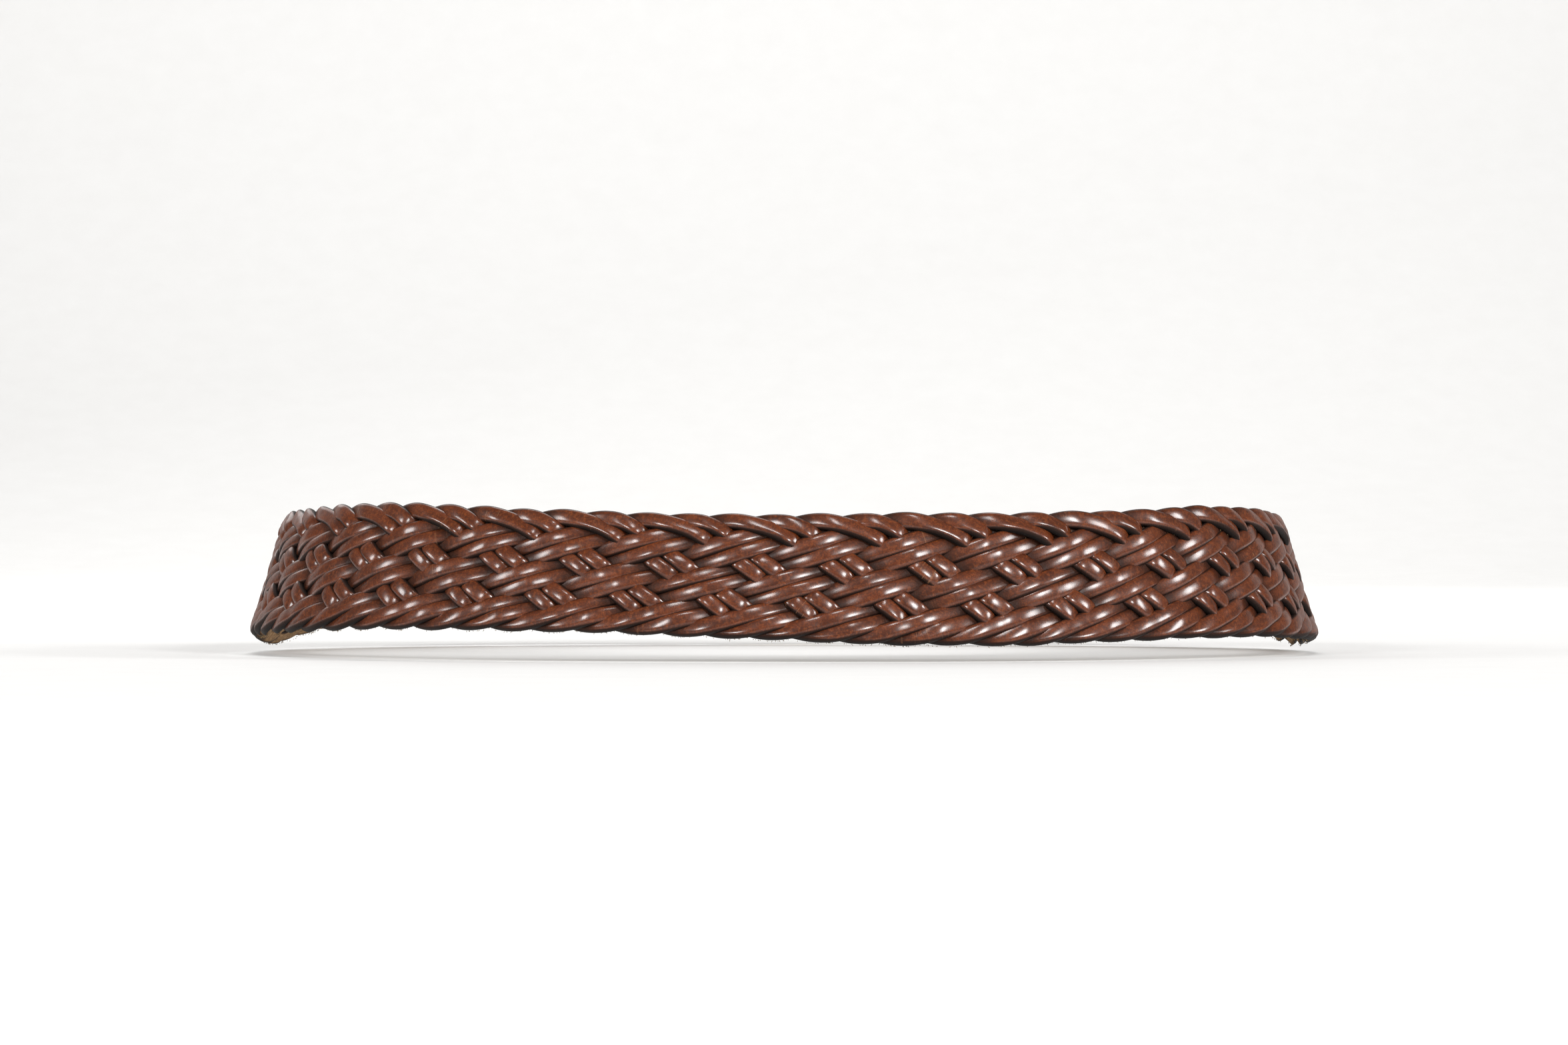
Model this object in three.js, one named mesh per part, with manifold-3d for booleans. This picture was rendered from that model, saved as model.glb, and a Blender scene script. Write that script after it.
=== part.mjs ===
// Braided leather belt, buckled into the oval loop that a waist gives it.
//
// The belt is a flat braid of fourteen laces, worked over two and under two, so
// that the laces run side by side in pairs. Its two ends are sewn into leather
// tabs that meet at the back: one tab is folded round the bar of a plain buckle,
// the other runs through the buckle and a keeper.
//
// Millimetres, +Z up. The origin is the middle of the loop at the height of the
// belt's middle line in front. -Y is the front, +Y the back with the buckle.
//
// Everything is laid out first on a straight belt: u runs along it from the front
// centre towards +X, v runs across it upwards, n runs out of its outer face. place()
// then bends that straight belt round the waist.

import * as THREE from 'three';
import { mergeVertices } from 'three/addons/utils/BufferGeometryUtils.js';
import Module from 'manifold-3d';

const wasm = await Module();
wasm.setup();

// The loop in plan: half an oval in front and a shallower half behind.
const HALF_WIDTH = 124.8;
const FRONT_DEPTH = 109.8;
const BACK_DEPTH = 88;
const SQUARENESS = 2.3;
const PLAN_SAMPLES = 1440;

// How the band sits on the waist. Each row is one station round the loop.
// angle: degrees round from the front centre, positive towards +X
// rise: height of the middle line; flare: lean outwards of the lower edge, degrees
// width: the band's full width there
const BELT_LINE = [
  { angle: -180, rise: -1.6, flare: 8, width: 30.0 },
  { angle: -140, rise: -0.4, flare: 11, width: 29.4 },
  { angle: -114, rise: 0.3, flare: 14, width: 28.8 },
  { angle: -98, rise: -3.0, flare: 16, width: 30.8 },
  { angle: -86, rise: -0.6, flare: 17, width: 31.5 },
  { angle: -66, rise: 1.3, flare: 16, width: 31.5 },
  { angle: -48, rise: 2.5, flare: 14, width: 30.6 },
  { angle: -31, rise: 1.7, flare: 12, width: 29.2 },
  { angle: -18, rise: 1.1, flare: 12, width: 28.8 },
  { angle: -8, rise: 0.4, flare: 12, width: 29.4 },
  { angle: 2, rise: 0.0, flare: 12, width: 30.2 },
  { angle: 12, rise: -0.3, flare: 12, width: 31.3 },
  { angle: 25, rise: -0.5, flare: 12, width: 31.5 },
  { angle: 42, rise: 0.4, flare: 13, width: 31.2 },
  { angle: 55, rise: 1.1, flare: 15, width: 32.1 },
  { angle: 66, rise: 0.6, flare: 16, width: 32.2 },
  { angle: 86, rise: -1.4, flare: 17, width: 31.8 },
  { angle: 98, rise: -3.1, flare: 16, width: 31.0 },
  { angle: 114, rise: 0.2, flare: 14, width: 28.8 },
  { angle: 140, rise: -0.5, flare: 11, width: 29.4 },
  { angle: 180, rise: -1.6, flare: 8, width: 30.0 },
];
const NOMINAL_WIDTH = 30;

// The braid. A lace climbs from a lower corner to an upper one, then falls back. Along
// the belt the pattern repeats with every pair of laces, PAIRS times round the loop.
const PAIRS = 36;
const ROWS = 7;
const CLIMB_SHARE = 0.695;
const LACE_WIDTH = 3.5;
const CORNER_HEIGHT = 31.6;
const CORNER_ROUNDING = 10.4;
const PAIR_SHIFT_UP = 0.26;
const PAIR_SHIFT_DOWN = 1.5;
const BUNCHING_SHARE = 0.3;
const PHASE = -6.4;
const INNER_FACE = -1.9;
const GROOVE = 0.5;
const CLIMBING_TOP = 2.1;
const FALLING_TOP = 1.9;
const VALLEY_DEPTH = 0.7;
const FALLING_REACH = 0.62;
const FOOT = LACE_WIDTH / 2 + 0.5;
const EDGE = { big: 15, small: 14.8, between: 14, notch: 12.9, height: 0.1, crown: 1.3, inset: 1.7 };
const INNER_EDGE = 13.2;
const TONGUE = { low: -1.8, high: 0.3, halfWidth: 10.6, overlap: 3 };

// The closure at the back. q is the distance along the belt from the back centre,
// positive towards the buckle's side of the belt, which is at -X.
const TAB_HALF_WIDTH = 11.8;
const LEATHER = 1.5;
const GAP = 0.3;
const POCKET_LENGTH = 16;
const BUCKLE_TAB_BRAID_END = 54;
const TIP_TAB_BRAID_END = -36;
const BUCKLE_TAB_HALF_THICKNESS = 1.7;
const BAR_Q = 12;
const FRAME_RISE = 3.2;
const FRAME_BAR = 2.8;
const FRAME_HALF_HEIGHT = 15;
const FRAME_CORNER = 4;
const BAR_HOLE_RADIUS = 2.4;
const FOLD_HALF_WIDTH = 10;
const PRONG_RADIUS = 1.2;
const PRONG_EYE_RADIUS = 2.7;
const PRONG_SLOT = 4.6;
const STRAP = 2.2;
const STRAP_ON_TAB = 2;
const STRAP_TIP_Q = 49;
const STRAP_TIP_LENGTH = 11;
const STRAP_TIP_HALF_WIDTH = 4;
const HOLE_RADIUS = 2;
const SPARE_HOLES_Q = [-19, 21];
const PRONG_HOLE = { from: -1.6, to: 5.6, halfWidth: 1.9 };
const KEEPER = { from: 27, to: 35, leather: 1.4, sideGap: 0.5, outerCorner: 1.6, innerCorner: 0.5 };
const PRONG_SIDES = 8;
const PRONG_STEPS = 12;

// Cutters reach this far beyond what they cut, inwards and outwards.
const CUTTER_REACH = 12;

const BROWN = new THREE.MeshStandardMaterial({ color: 0x5a2c1a, roughness: 0.42, metalness: 0 });
const TAB_BROWN = new THREE.MeshStandardMaterial({ color: 0x4e2717, roughness: 0.5, metalness: 0 });
const BRASS = new THREE.MeshStandardMaterial({ color: 0xa88a4a, roughness: 0.35, metalness: 1 });

// A smooth curve through one column of a table, by its angle column.
function column(table, angle, name) {
  const last = table.length - 1;
  let i = 0;
  while (i < last - 1 && table[i + 1].angle <= angle) i += 1;
  const a = table[i];
  const b = table[i + 1];
  const before = i > 0 ? table[i - 1] : { ...table[last - 1], angle: table[last - 1].angle - 360 };
  const after = i + 2 <= last ? table[i + 2] : { ...table[1], angle: table[1].angle + 360 };
  const span = b.angle - a.angle;
  const slopeA = ((b[name] - before[name]) / (b.angle - before.angle)) * span;
  const slopeB = ((after[name] - a[name]) / (after.angle - a.angle)) * span;
  const t = (angle - a.angle) / span;
  const t2 = t * t;
  const t3 = t2 * t;
  return (
    (2 * t3 - 3 * t2 + 1) * a[name] +
    (t3 - 2 * t2 + t) * slopeA +
    (3 * t2 - 2 * t3) * b[name] +
    (t3 - t2) * slopeB
  );
}

// The plan curve's point at an angle from the front centre.
function planPoint(angle) {
  const s = Math.sin(angle);
  const c = Math.cos(angle);
  const depth = c > 0 ? FRONT_DEPTH : BACK_DEPTH;
  const reach = (Math.abs(s) / HALF_WIDTH) ** SQUARENESS + (Math.abs(c) / depth) ** SQUARENESS;
  const r = reach ** (-1 / SQUARENESS);
  return new THREE.Vector2(r * s, -r * c);
}

// Distance along the plan curve for evenly spaced angles from the back, round by
// the front, to the back again, counted from the front centre.
const planAngles = [];
const planLengths = [];
for (let i = 0; i <= PLAN_SAMPLES; i += 1) {
  const angle = -Math.PI + (2 * Math.PI * i) / PLAN_SAMPLES;
  const step = i ? planPoint(angle).distanceTo(planPoint(planAngles[i - 1])) : 0;
  planAngles.push(angle);
  planLengths.push((planLengths[i - 1] ?? 0) + step);
}
const LOOP = planLengths[PLAN_SAMPLES];
const HALF_LOOP = planLengths[PLAN_SAMPLES / 2];
const REPEAT = LOOP / PAIRS;
const CLIMB = REPEAT * ROWS * CLIMB_SHARE;
const FALL = REPEAT * ROWS - CLIMB;

function angleAt(u) {
  const s = (((u + HALF_LOOP) % LOOP) + LOOP) % LOOP;
  let low = 0;
  let high = PLAN_SAMPLES;
  while (high - low > 1) {
    const middle = (low + high) >> 1;
    if (planLengths[middle] <= s) low = middle;
    else high = middle;
  }
  const share = (s - planLengths[low]) / (planLengths[high] - planLengths[low]);
  return planAngles[low] + share * (planAngles[high] - planAngles[low]);
}

// From the straight belt to the loop.
const TANGENT_STEP = 0.004;
function place(u, v, n) {
  const angle = angleAt(u);
  const degrees = THREE.MathUtils.radToDeg(angle);
  const middle = planPoint(angle);
  const along = planPoint(angle + TANGENT_STEP).sub(planPoint(angle - TANGENT_STEP)).normalize();
  const out = new THREE.Vector3(along.y, -along.x, 0);
  const up = new THREE.Vector3(0, 0, 1);
  const flare = THREE.MathUtils.degToRad(column(BELT_LINE, degrees, 'flare'));
  const across = up.clone().multiplyScalar(Math.cos(flare)).addScaledVector(out, -Math.sin(flare));
  const face = out.clone().multiplyScalar(Math.cos(flare)).addScaledVector(up, Math.sin(flare));
  const stretch = column(BELT_LINE, degrees, 'width') / NOMINAL_WIDTH;
  return new THREE.Vector3(middle.x, middle.y, column(BELT_LINE, degrees, 'rise'))
    .addScaledVector(across, v * stretch)
    .addScaledVector(face, n);
}

// q runs the other way from u, so that the buckle tab is at -X.
const backPlace = (q, v, n) => place(LOOP / 2 + q, v, n);

// A closed mesh as a solid that can be joined and cut.
function toSolid(geometry) {
  const bare = new THREE.BufferGeometry();
  bare.setAttribute('position', geometry.getAttribute('position').clone());
  if (geometry.index) bare.setIndex(geometry.index.clone());
  const merged = mergeVertices(bare, 1e-4);
  return new wasm.Manifold(
    new wasm.Mesh({
      numProp: 3,
      vertProperties: new Float32Array(merged.getAttribute('position').array),
      triVerts: new Uint32Array(merged.index.array),
    }),
  );
}

function toGeometry(solid) {
  const mesh = solid.getMesh();
  const positions = new Float32Array(mesh.numVert * 3);
  for (let i = 0; i < mesh.numVert; i += 1) {
    for (let k = 0; k < 3; k += 1) positions[3 * i + k] = mesh.vertProperties[i * mesh.numProp + k];
  }
  const geometry = new THREE.BufferGeometry();
  geometry.setAttribute('position', new THREE.BufferAttribute(positions, 3));
  geometry.setIndex([...mesh.triVerts]);
  geometry.computeVertexNormals();
  return geometry;
}

// A closed body through rings of points, each ring going the same way round.
function loft(rings) {
  const count = rings[0].length;
  const positions = rings.flat().flatMap((p) => [p.x, p.y, p.z]);
  const index = [];
  for (let i = 0; i + 1 < rings.length; i += 1) {
    for (let k = 0; k < count; k += 1) {
      const a = i * count + k;
      const b = i * count + ((k + 1) % count);
      index.push(a, b, b + count, a, b + count, a + count);
    }
  }
  const end = (rings.length - 1) * count;
  for (let k = 1; k + 1 < count; k += 1) {
    index.push(0, k + 1, k);
    index.push(end, end + k, end + k + 1);
  }
  const geometry = new THREE.BufferGeometry();
  geometry.setAttribute('position', new THREE.Float32BufferAttribute(positions, 3));
  geometry.setIndex(index);
  const solid = toSolid(geometry);
  return solid.volume() > 0 ? solid : toSolid(flipped(geometry));
}

function flipped(geometry) {
  const turned = geometry.clone();
  const index = [...geometry.index.array];
  for (let i = 0; i < index.length; i += 3) [index[i], index[i + 1]] = [index[i + 1], index[i]];
  turned.setIndex(index);
  return turned;
}

// A flat outline pulled through a depth, then every point sent through a mapping.
function extruded(shape, depth, steps, mapping, bevel = 0) {
  const geometry = mergeVertices(
    stripped(
      new THREE.ExtrudeGeometry(shape, {
        depth: depth - 2 * bevel,
        steps,
        bevelEnabled: bevel > 0,
        bevelThickness: bevel,
        bevelSize: bevel,
        bevelOffset: -bevel,
        bevelSegments: 1,
        curveSegments: 4,
      }),
    ),
    1e-4,
  );
  const position = geometry.getAttribute('position');
  for (let i = 0; i < position.count; i += 1) {
    const p = mapping(position.getX(i), position.getY(i), position.getZ(i) + bevel);
    position.setXYZ(i, p.x, p.y, p.z);
  }
  const solid = toSolid(geometry);
  return solid.volume() > 0 ? solid : toSolid(flipped(geometry));
}

function stripped(geometry) {
  geometry.deleteAttribute('normal');
  geometry.deleteAttribute('uv');
  return geometry;
}

const smoothMin = (a, b, width) => {
  const h = Math.max(width - Math.abs(a - b), 0) / width;
  return Math.min(a, b) - (h * h * width) / 4;
};
const smoothMax = (a, b, width) => -smoothMin(-a, -b, width);

// Where a lace's middle line lies across the belt, x beyond its lower corner.
function laceAcross(x, big) {
  const shift = big ? 1 : -1;
  const half = CORNER_HEIGHT / 2;
  const climbing = -half + (CORNER_HEIGHT * x) / CLIMB;
  const falling = half - (CORNER_HEIGHT * (x - CLIMB)) / FALL;
  const fallingBefore = -half - (CORNER_HEIGHT * x) / FALL;
  const zigzag = smoothMax(smoothMin(climbing, falling, CORNER_ROUNDING), fallingBefore, CORNER_ROUNDING);
  const fallShare = THREE.MathUtils.clamp((x - CLIMB) / FALL, 0, 1);
  const bunching = THREE.MathUtils.smoothstep(Math.min(fallShare, 1 - fallShare), 0, BUNCHING_SHARE);
  const settled = x < 0 || x > CLIMB ? 0 : Math.sin((Math.PI * x) / CLIMB);
  return zigzag + shift * (PAIR_SHIFT_UP * settled + PAIR_SHIFT_DOWN * bunching);
}

// t counts rows of crossings passed since the lower corner: 0 to 7 climbing, 7 to 14
// falling. The small lace of a pair runs half a row behind the big one.
const SMALL_LAG = 0.5;

function laceAt(pair, t, big, n, offset = 0) {
  const step = 0.05;
  const x = t <= ROWS ? (CLIMB * t) / ROWS : CLIMB + (FALL * (t - ROWS)) / ROWS;
  const v = laceAcross(x, big);
  const slope = (laceAcross(x + step, big) - laceAcross(x - step, big)) / (2 * step);
  const length = Math.hypot(1, slope);
  const corner = PHASE + (pair + (big ? 0 : SMALL_LAG)) * REPEAT;
  return { u: corner + x - (slope / length) * offset, v: v + offset / length, n };
}

const between = (a, b, drop) => ({
  u: (a.u + b.u) / 2,
  v: (a.v + b.v) / 2,
  n: (a.n + b.n) / 2 - drop,
});

// The band's skin, built on the straight belt and closed round the loop. Where
// crossings lie in rows, each crossing is a diamond with its corners in the grooves.
// Odd rows show the climbing pair on top, even rows the falling pair.
class Skin {
  constructor() {
    this.points = [];
    this.places = new Map();
    this.index = [];
  }

  point(name, pair, make) {
    const key = `${name}:${((pair % PAIRS) + PAIRS) % PAIRS}`;
    if (!this.places.has(key)) {
      this.places.set(key, this.points.length);
      this.points.push(make());
    }
    return this.places.get(key);
  }

  triangle(a, b, c) {
    this.index.push(a, b, c);
  }

  // Two rows of points with as many points each, the second on the first one's left.
  sheet(first, second) {
    for (let i = 0; i + 1 < first.length; i += 1) {
      if (first[i] !== second[i]) this.triangle(first[i], first[i + 1], second[i]);
      if (first[i + 1] !== second[i + 1]) this.triangle(first[i + 1], second[i + 1], second[i]);
    }
  }

  // Triangles from one point to each step of a row, which goes round it anticlockwise.
  fan(centre, row) {
    for (let i = 0; i + 1 < row.length; i += 1) this.triangle(centre, row[i], row[i + 1]);
  }

  solid() {
    const positions = this.points.flatMap((p) => place(p.u, p.v, p.n).toArray());
    const geometry = new THREE.BufferGeometry();
    geometry.setAttribute('position', new THREE.Float32BufferAttribute(positions, 3));
    geometry.setIndex(this.index);
    return toSolid(geometry);
  }
}

// A groove point between two crossings of a row, or a notch of the belt's outline.
function grooveAt(row, pair) {
  const u = PHASE + REPEAT / 4 + (CLIMB * row) / ROWS + (pair + 0.5) * REPEAT;
  if (row === 0) return { u, v: -EDGE.notch, n: EDGE.height };
  if (row === ROWS) return { u, v: EDGE.notch, n: EDGE.height };
  return { u, v: CORNER_HEIGHT * (row / ROWS - 0.5), n: GROOVE };
}

// Both laces of a pair side by side at t, with the valley between them.
function pairAt(pair, t, top) {
  const big = laceAt(pair, t + SMALL_LAG / 2, true, top);
  const small = laceAt(pair, t - SMALL_LAG / 2, false, top);
  return { big, valley: between(big, small, VALLEY_DEPTH), small };
}

function weave(skin) {
  const groove = (row, pair) => skin.point(`groove${row}`, pair, () => grooveAt(row, pair));
  const pairPoints = (name, pair, t, top) => {
    const laces = pairAt(pair, t, top);
    return ['big', 'valley', 'small'].map((part) => skin.point(`${name}-${part}`, pair, () => laces[part]));
  };
  const climbing = (row, pair) => pairPoints(`climb${row}`, pair, row, CLIMBING_TOP);

  for (let pair = 0; pair < PAIRS; pair += 1) {
    for (let row = 1; row < ROWS; row += 1) {
      const left = groove(row, pair - 1);
      const right = groove(row, pair);
      const upper = groove(row + 1, pair - 1);
      const lower = groove(row - 1, pair);
      if (row % 2) {
        const start = [left, ...climbing(row - 0.5, pair), lower];
        const end = [upper, ...climbing(row + 0.5, pair), right];
        skin.sheet(start, end);
        if (row === 1) turn(skin, 'lower', pair, [left, ...climbing(0.5, pair), lower]);
      } else {
        fallingCrossing(skin, { row, pair, left, right, upper, lower, climbing, pairPoints });
      }
    }
  }
}

function fallingCrossing(skin, cell) {
  const { row, pair, left, right, upper, lower, climbing, pairPoints } = cell;
  const faller = pair - (ROWS - row);
  const t = 2 * ROWS - row;
  const rail = (name, at) => {
    const foot = (part, big, lag, side) =>
      skin.point(`${name}-${part}`, faller, () => laceAt(faller, at + lag, big, GROOVE, side * FOOT));
    return [
      foot('left', true, SMALL_LAG / 2, -1),
      ...pairPoints(name, faller, at, FALLING_TOP),
      foot('right', false, -SMALL_LAG / 2, 1),
    ];
  };
  const top = rail(`fall${row}top`, t - FALLING_REACH / 2);
  const bottom = rail(`fall${row}bottom`, t + FALLING_REACH / 2);
  skin.sheet(bottom, top);

  const [e0, e1, e2, e3, e4] = [left, ...climbing(row - 0.5, pair), lower];
  skin.fan(top[0], [e0, e1, e2, bottom[0]]);
  skin.fan(bottom[0], [e2, e3, e4]);
  skin.fan(lower, [right, bottom[2], bottom[1], bottom[0]]);
  skin.fan(right, [bottom[4], bottom[3], bottom[2]]);
  if (row < ROWS - 1) {
    const [f0, f1, f2, f3, f4] = [upper, ...climbing(row + 0.5, pair), right];
    skin.fan(top[4], [bottom[4], f2, f1, f0]);
    skin.fan(bottom[4], [f4, f3, f2]);
    skin.fan(left, [top[0], top[1], top[2], upper]);
    skin.fan(upper, [top[2], top[3], top[4]]);
    return;
  }
  skin.fan(upper, [top[4], bottom[4], right]);
  const entry = [left, ...pairPoints('entry', faller, ROWS + 0.5, FALLING_TOP), upper];
  skin.sheet(top, entry);
  turn(skin, 'upper', faller, entry);
}

// A pair folding over at an edge. inside is the row of points where it meets the
// weave; edgeRow is the belt's outline there, from notch to notch.
function turn(skin, side, pair, inside) {
  const outline = edgeRow(skin, side, pair);
  const crown = ['big', 'between', 'small'].map((part, i) =>
    skin.point(`${side}-crown-${part}`, pair, () => {
      const p = skin.points[outline[i + 1]];
      return { u: p.u, v: p.v - Math.sign(p.v) * EDGE.inset, n: EDGE.crown };
    }),
  );
  const rows = [outline, [outline[0], ...crown, outline[4]], inside];
  if (side === 'upper') rows.reverse();
  skin.sheet(rows[0], rows[1]);
  skin.sheet(rows[1], rows[2]);
}

function edgeRow(skin, side, pair) {
  const upper = side === 'upper';
  const start = PHASE + pair * REPEAT + (upper ? CLIMB : 0);
  const sign = upper ? 1 : -1;
  const at = (part, share) =>
    skin.point(`${side}-${part}`, pair, () => ({
      u: start + share * REPEAT,
      v: sign * EDGE[part],
      n: EDGE.height,
    }));
  const row = upper ? ROWS : 0;
  const notch = (p) => skin.point(`groove${row}`, p, () => grooveAt(row, p));
  return [notch(pair - 1), at('big', 0), at('between', SMALL_LAG / 2), at('small', SMALL_LAG), notch(pair)];
}

// The flat inner face, joined to the outline by narrow walls.
function lining(skin) {
  const edges = ['upper', 'lower'].map((side) => {
    const outline = [];
    for (let pair = 0; pair < PAIRS; pair += 1) outline.push(...edgeRow(skin, side, pair).slice(0, 4));
    const inner = outline.map((outer, i) =>
      skin.point(`${side}-inner${i}`, 0, () => {
        const p = skin.points[outer];
        return { u: p.u, v: Math.sign(p.v) * INNER_EDGE, n: INNER_FACE };
      }),
    );
    return { side, outline, inner };
  });
  const count = edges[0].outline.length;
  const lag = Math.floor((4 * CLIMB) / REPEAT);
  const wrap = (i) => ((i % count) + count) % count;
  for (let i = 0; i < count; i += 1) {
    const [upper, lower] = edges.map((edge) => edge.inner);
    const j = wrap(i - lag);
    skin.sheet([upper[j], upper[wrap(j + 1)]], [lower[i], lower[wrap(i + 1)]]);
    for (const { side, outline, inner } of edges) {
      const walls = [outline, inner].map((row) => [row[i], row[wrap(i + 1)]]);
      if (side === 'lower') walls.reverse();
      skin.sheet(walls[0], walls[1]);
    }
  }
}

function braidedBand() {
  const skin = new Skin();
  weave(skin);
  lining(skin);
  const loop = skin.solid();
  const buckleMouth = BUCKLE_TAB_BRAID_END + POCKET_LENGTH + GAP;
  const tipMouth = TIP_TAB_BRAID_END - POCKET_LENGTH - GAP;
  const gapRows = [];
  const steps = 12;
  for (let i = 0; i <= steps; i += 1) {
    const q = tipMouth + ((buckleMouth - tipMouth) * i) / steps;
    gapRows.push({ q, low: -CUTTER_REACH / 2, high: CUTTER_REACH / 2 });
  }
  const { low, high, halfWidth, overlap } = TONGUE;
  const tongue = (from, to) =>
    strip([from, (from + to) / 2, to].map((q) => ({ q, low, high })), halfWidth);
  return loop
    .subtract(strip(gapRows, NOMINAL_WIDTH))
    .add(tongue(BUCKLE_TAB_BRAID_END, buckleMouth + overlap))
    .add(tongue(tipMouth - overlap, TIP_TAB_BRAID_END));
}

// A strip of leather along the back, from a table of its under and upper heights.
function strip(rows, halfWidth) {
  return loft(
    rows.map(({ q, low, high }) => [
      backPlace(q, -halfWidth, low),
      backPlace(q, halfWidth, low),
      backPlace(q, halfWidth, high),
      backPlace(q, -halfWidth, high),
    ]),
  );
}

// A flat shape in q and n, given its width across the belt.
function across(shape, halfWidth) {
  return extruded(shape, 2 * halfWidth, 1, (q, n, depth) => backPlace(q, depth - halfWidth, n));
}

function box(q0, q1, v0, v1, n0, n1) {
  const shape = new THREE.Shape([
    new THREE.Vector2(q0, v0),
    new THREE.Vector2(q1, v0),
    new THREE.Vector2(q1, v1),
    new THREE.Vector2(q0, v1),
  ]);
  return extruded(shape, n1 - n0, 1, (q, v, depth) => backPlace(q, v, n0 + depth));
}

// The pocket of a tab: two leathers with the pressed end of the braid between them.
const POCKET_OUTER = TONGUE.high + GAP;
const POCKET_INNER = TONGUE.low - GAP;

// from is the closed end of the pocket, to its mouth.
function pocketLeathers(from, to) {
  const middle = (from + to) / 2;
  const upper = [from, middle, to].map((q) => ({ q, low: POCKET_OUTER, high: POCKET_OUTER + LEATHER }));
  const lower = [from, middle, to].map((q) => ({ q, low: POCKET_INNER - LEATHER, high: POCKET_INNER }));
  return [strip(upper, TAB_HALF_WIDTH), strip(lower, TAB_HALF_WIDTH)];
}

function buckleTab() {
  const h = BUCKLE_TAB_HALF_THICKNESS;
  const mouth = BUCKLE_TAB_BRAID_END + POCKET_LENGTH;
  const inside = BUCKLE_TAB_BRAID_END - GAP;
  const body = [BAR_Q + BAR_HOLE_RADIUS + 0.4, 22, 29, 36, 43, 49].map((q) => ({ q, low: -h, high: h }));
  body.push({ q: inside, low: POCKET_INNER - LEATHER, high: POCKET_OUTER + LEATHER });
  const disc = (radius) => new THREE.Shape().absarc(BAR_Q, 0, radius, 0, 2 * Math.PI, false);
  const leathers = [
    strip(body, TAB_HALF_WIDTH),
    ...pocketLeathers(inside - 0.2, mouth),
    across(disc(BAR_HOLE_RADIUS + LEATHER), FOLD_HALF_WIDTH),
  ];
  const barHole = across(disc(BAR_HOLE_RADIUS), TAB_HALF_WIDTH + 2);
  const reach = CUTTER_REACH / 2;
  const slot = box(BAR_Q - reach, BAR_Q + reach, -PRONG_SLOT / 2, PRONG_SLOT / 2, -reach, reach);
  return wasm.Manifold.union(leathers).subtract(barHole).subtract(slot);
}

// Where the tip tab's strap runs: inside the buckle's front bar, over the bar that
// holds the other tab, then down onto that tab. n is its underside.
const STRAP_LINE = [
  { q: -34, n: -1.1 },
  { q: -27, n: -1.0 },
  { q: -20, n: -0.9 },
  { q: -14, n: -0.9 },
  { q: -9.5, n: -0.8 },
  { q: -5, n: 0.4 },
  { q: 0, n: 1.9 },
  { q: 5, n: 3.5 },
  { q: 9, n: 4.3 },
  { q: 13, n: 4.35 },
  { q: 17, n: 3.5 },
  { q: 21, n: 2.4 },
  { q: 25, n: STRAP_ON_TAB },
  { q: 31, n: STRAP_ON_TAB },
  { q: 38, n: STRAP_ON_TAB },
  { q: 44, n: 2.1 },
  { q: STRAP_TIP_Q, n: 2.4 },
];

function holeCutter(q, radius) {
  const shape = new THREE.Shape();
  shape.absarc(q, 0, radius, 0, 2 * Math.PI, false);
  return extruded(shape, 2 * CUTTER_REACH, 1, (x, v, depth) => backPlace(x, v, depth - CUTTER_REACH));
}

function tipCorner(sign) {
  const shape = new THREE.Shape();
  const from = STRAP_TIP_Q - STRAP_TIP_LENGTH;
  const wide = TAB_HALF_WIDTH + 1;
  shape.moveTo(from - 1, sign * wide);
  shape.lineTo(from, sign * TAB_HALF_WIDTH);
  const tip = sign * STRAP_TIP_HALF_WIDTH;
  shape.quadraticCurveTo(STRAP_TIP_Q - 2, sign * TAB_HALF_WIDTH * 0.9, STRAP_TIP_Q, tip);
  shape.lineTo(STRAP_TIP_Q + 2, tip * 0.5);
  shape.lineTo(STRAP_TIP_Q + 2, sign * wide);
  return extruded(shape, 2 * CUTTER_REACH, 1, (q, v, depth) => backPlace(q, v, depth - CUTTER_REACH));
}

function tipTab() {
  const mouth = TIP_TAB_BRAID_END - POCKET_LENGTH;
  const inside = TIP_TAB_BRAID_END + GAP;
  const body = [
    { q: inside, low: POCKET_INNER - LEATHER, high: POCKET_OUTER + LEATHER },
    ...STRAP_LINE.map(({ q, n }) => ({ q, low: n, high: n + STRAP })),
  ];
  const leathers = [strip(body, TAB_HALF_WIDTH), ...pocketLeathers(mouth, inside + 0.2)];
  const { from, to, halfWidth } = PRONG_HOLE;
  const cutters = [
    ...SPARE_HOLES_Q.map((q) => holeCutter(q, HOLE_RADIUS)),
    box(from, to, -halfWidth, halfWidth, -CUTTER_REACH, CUTTER_REACH),
    tipCorner(1),
    tipCorner(-1),
  ];
  return cutters.reduce((solid, cutter) => solid.subtract(cutter), wasm.Manifold.union(leathers));
}

function roundedRectangle(q0, q1, halfHeight, radius) {
  const shape = new THREE.Shape();
  shape.moveTo(q0 + radius, -halfHeight);
  shape.lineTo(q1 - radius, -halfHeight);
  shape.absarc(q1 - radius, -halfHeight + radius, radius, -Math.PI / 2, 0, false);
  shape.lineTo(q1, halfHeight - radius);
  shape.absarc(q1 - radius, halfHeight - radius, radius, 0, Math.PI / 2, false);
  shape.lineTo(q0 + radius, halfHeight);
  shape.absarc(q0 + radius, halfHeight - radius, radius, Math.PI / 2, Math.PI, false);
  shape.lineTo(q0, -halfHeight + radius);
  shape.absarc(q0 + radius, -halfHeight + radius, radius, Math.PI, 1.5 * Math.PI, false);
  return shape;
}

// The frame leans: its bar at BAR_Q lies in the tab, its front bar over the strap.
const frameRise = (q) => (FRAME_RISE * (BAR_Q - q)) / (2 * BAR_Q);

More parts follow.
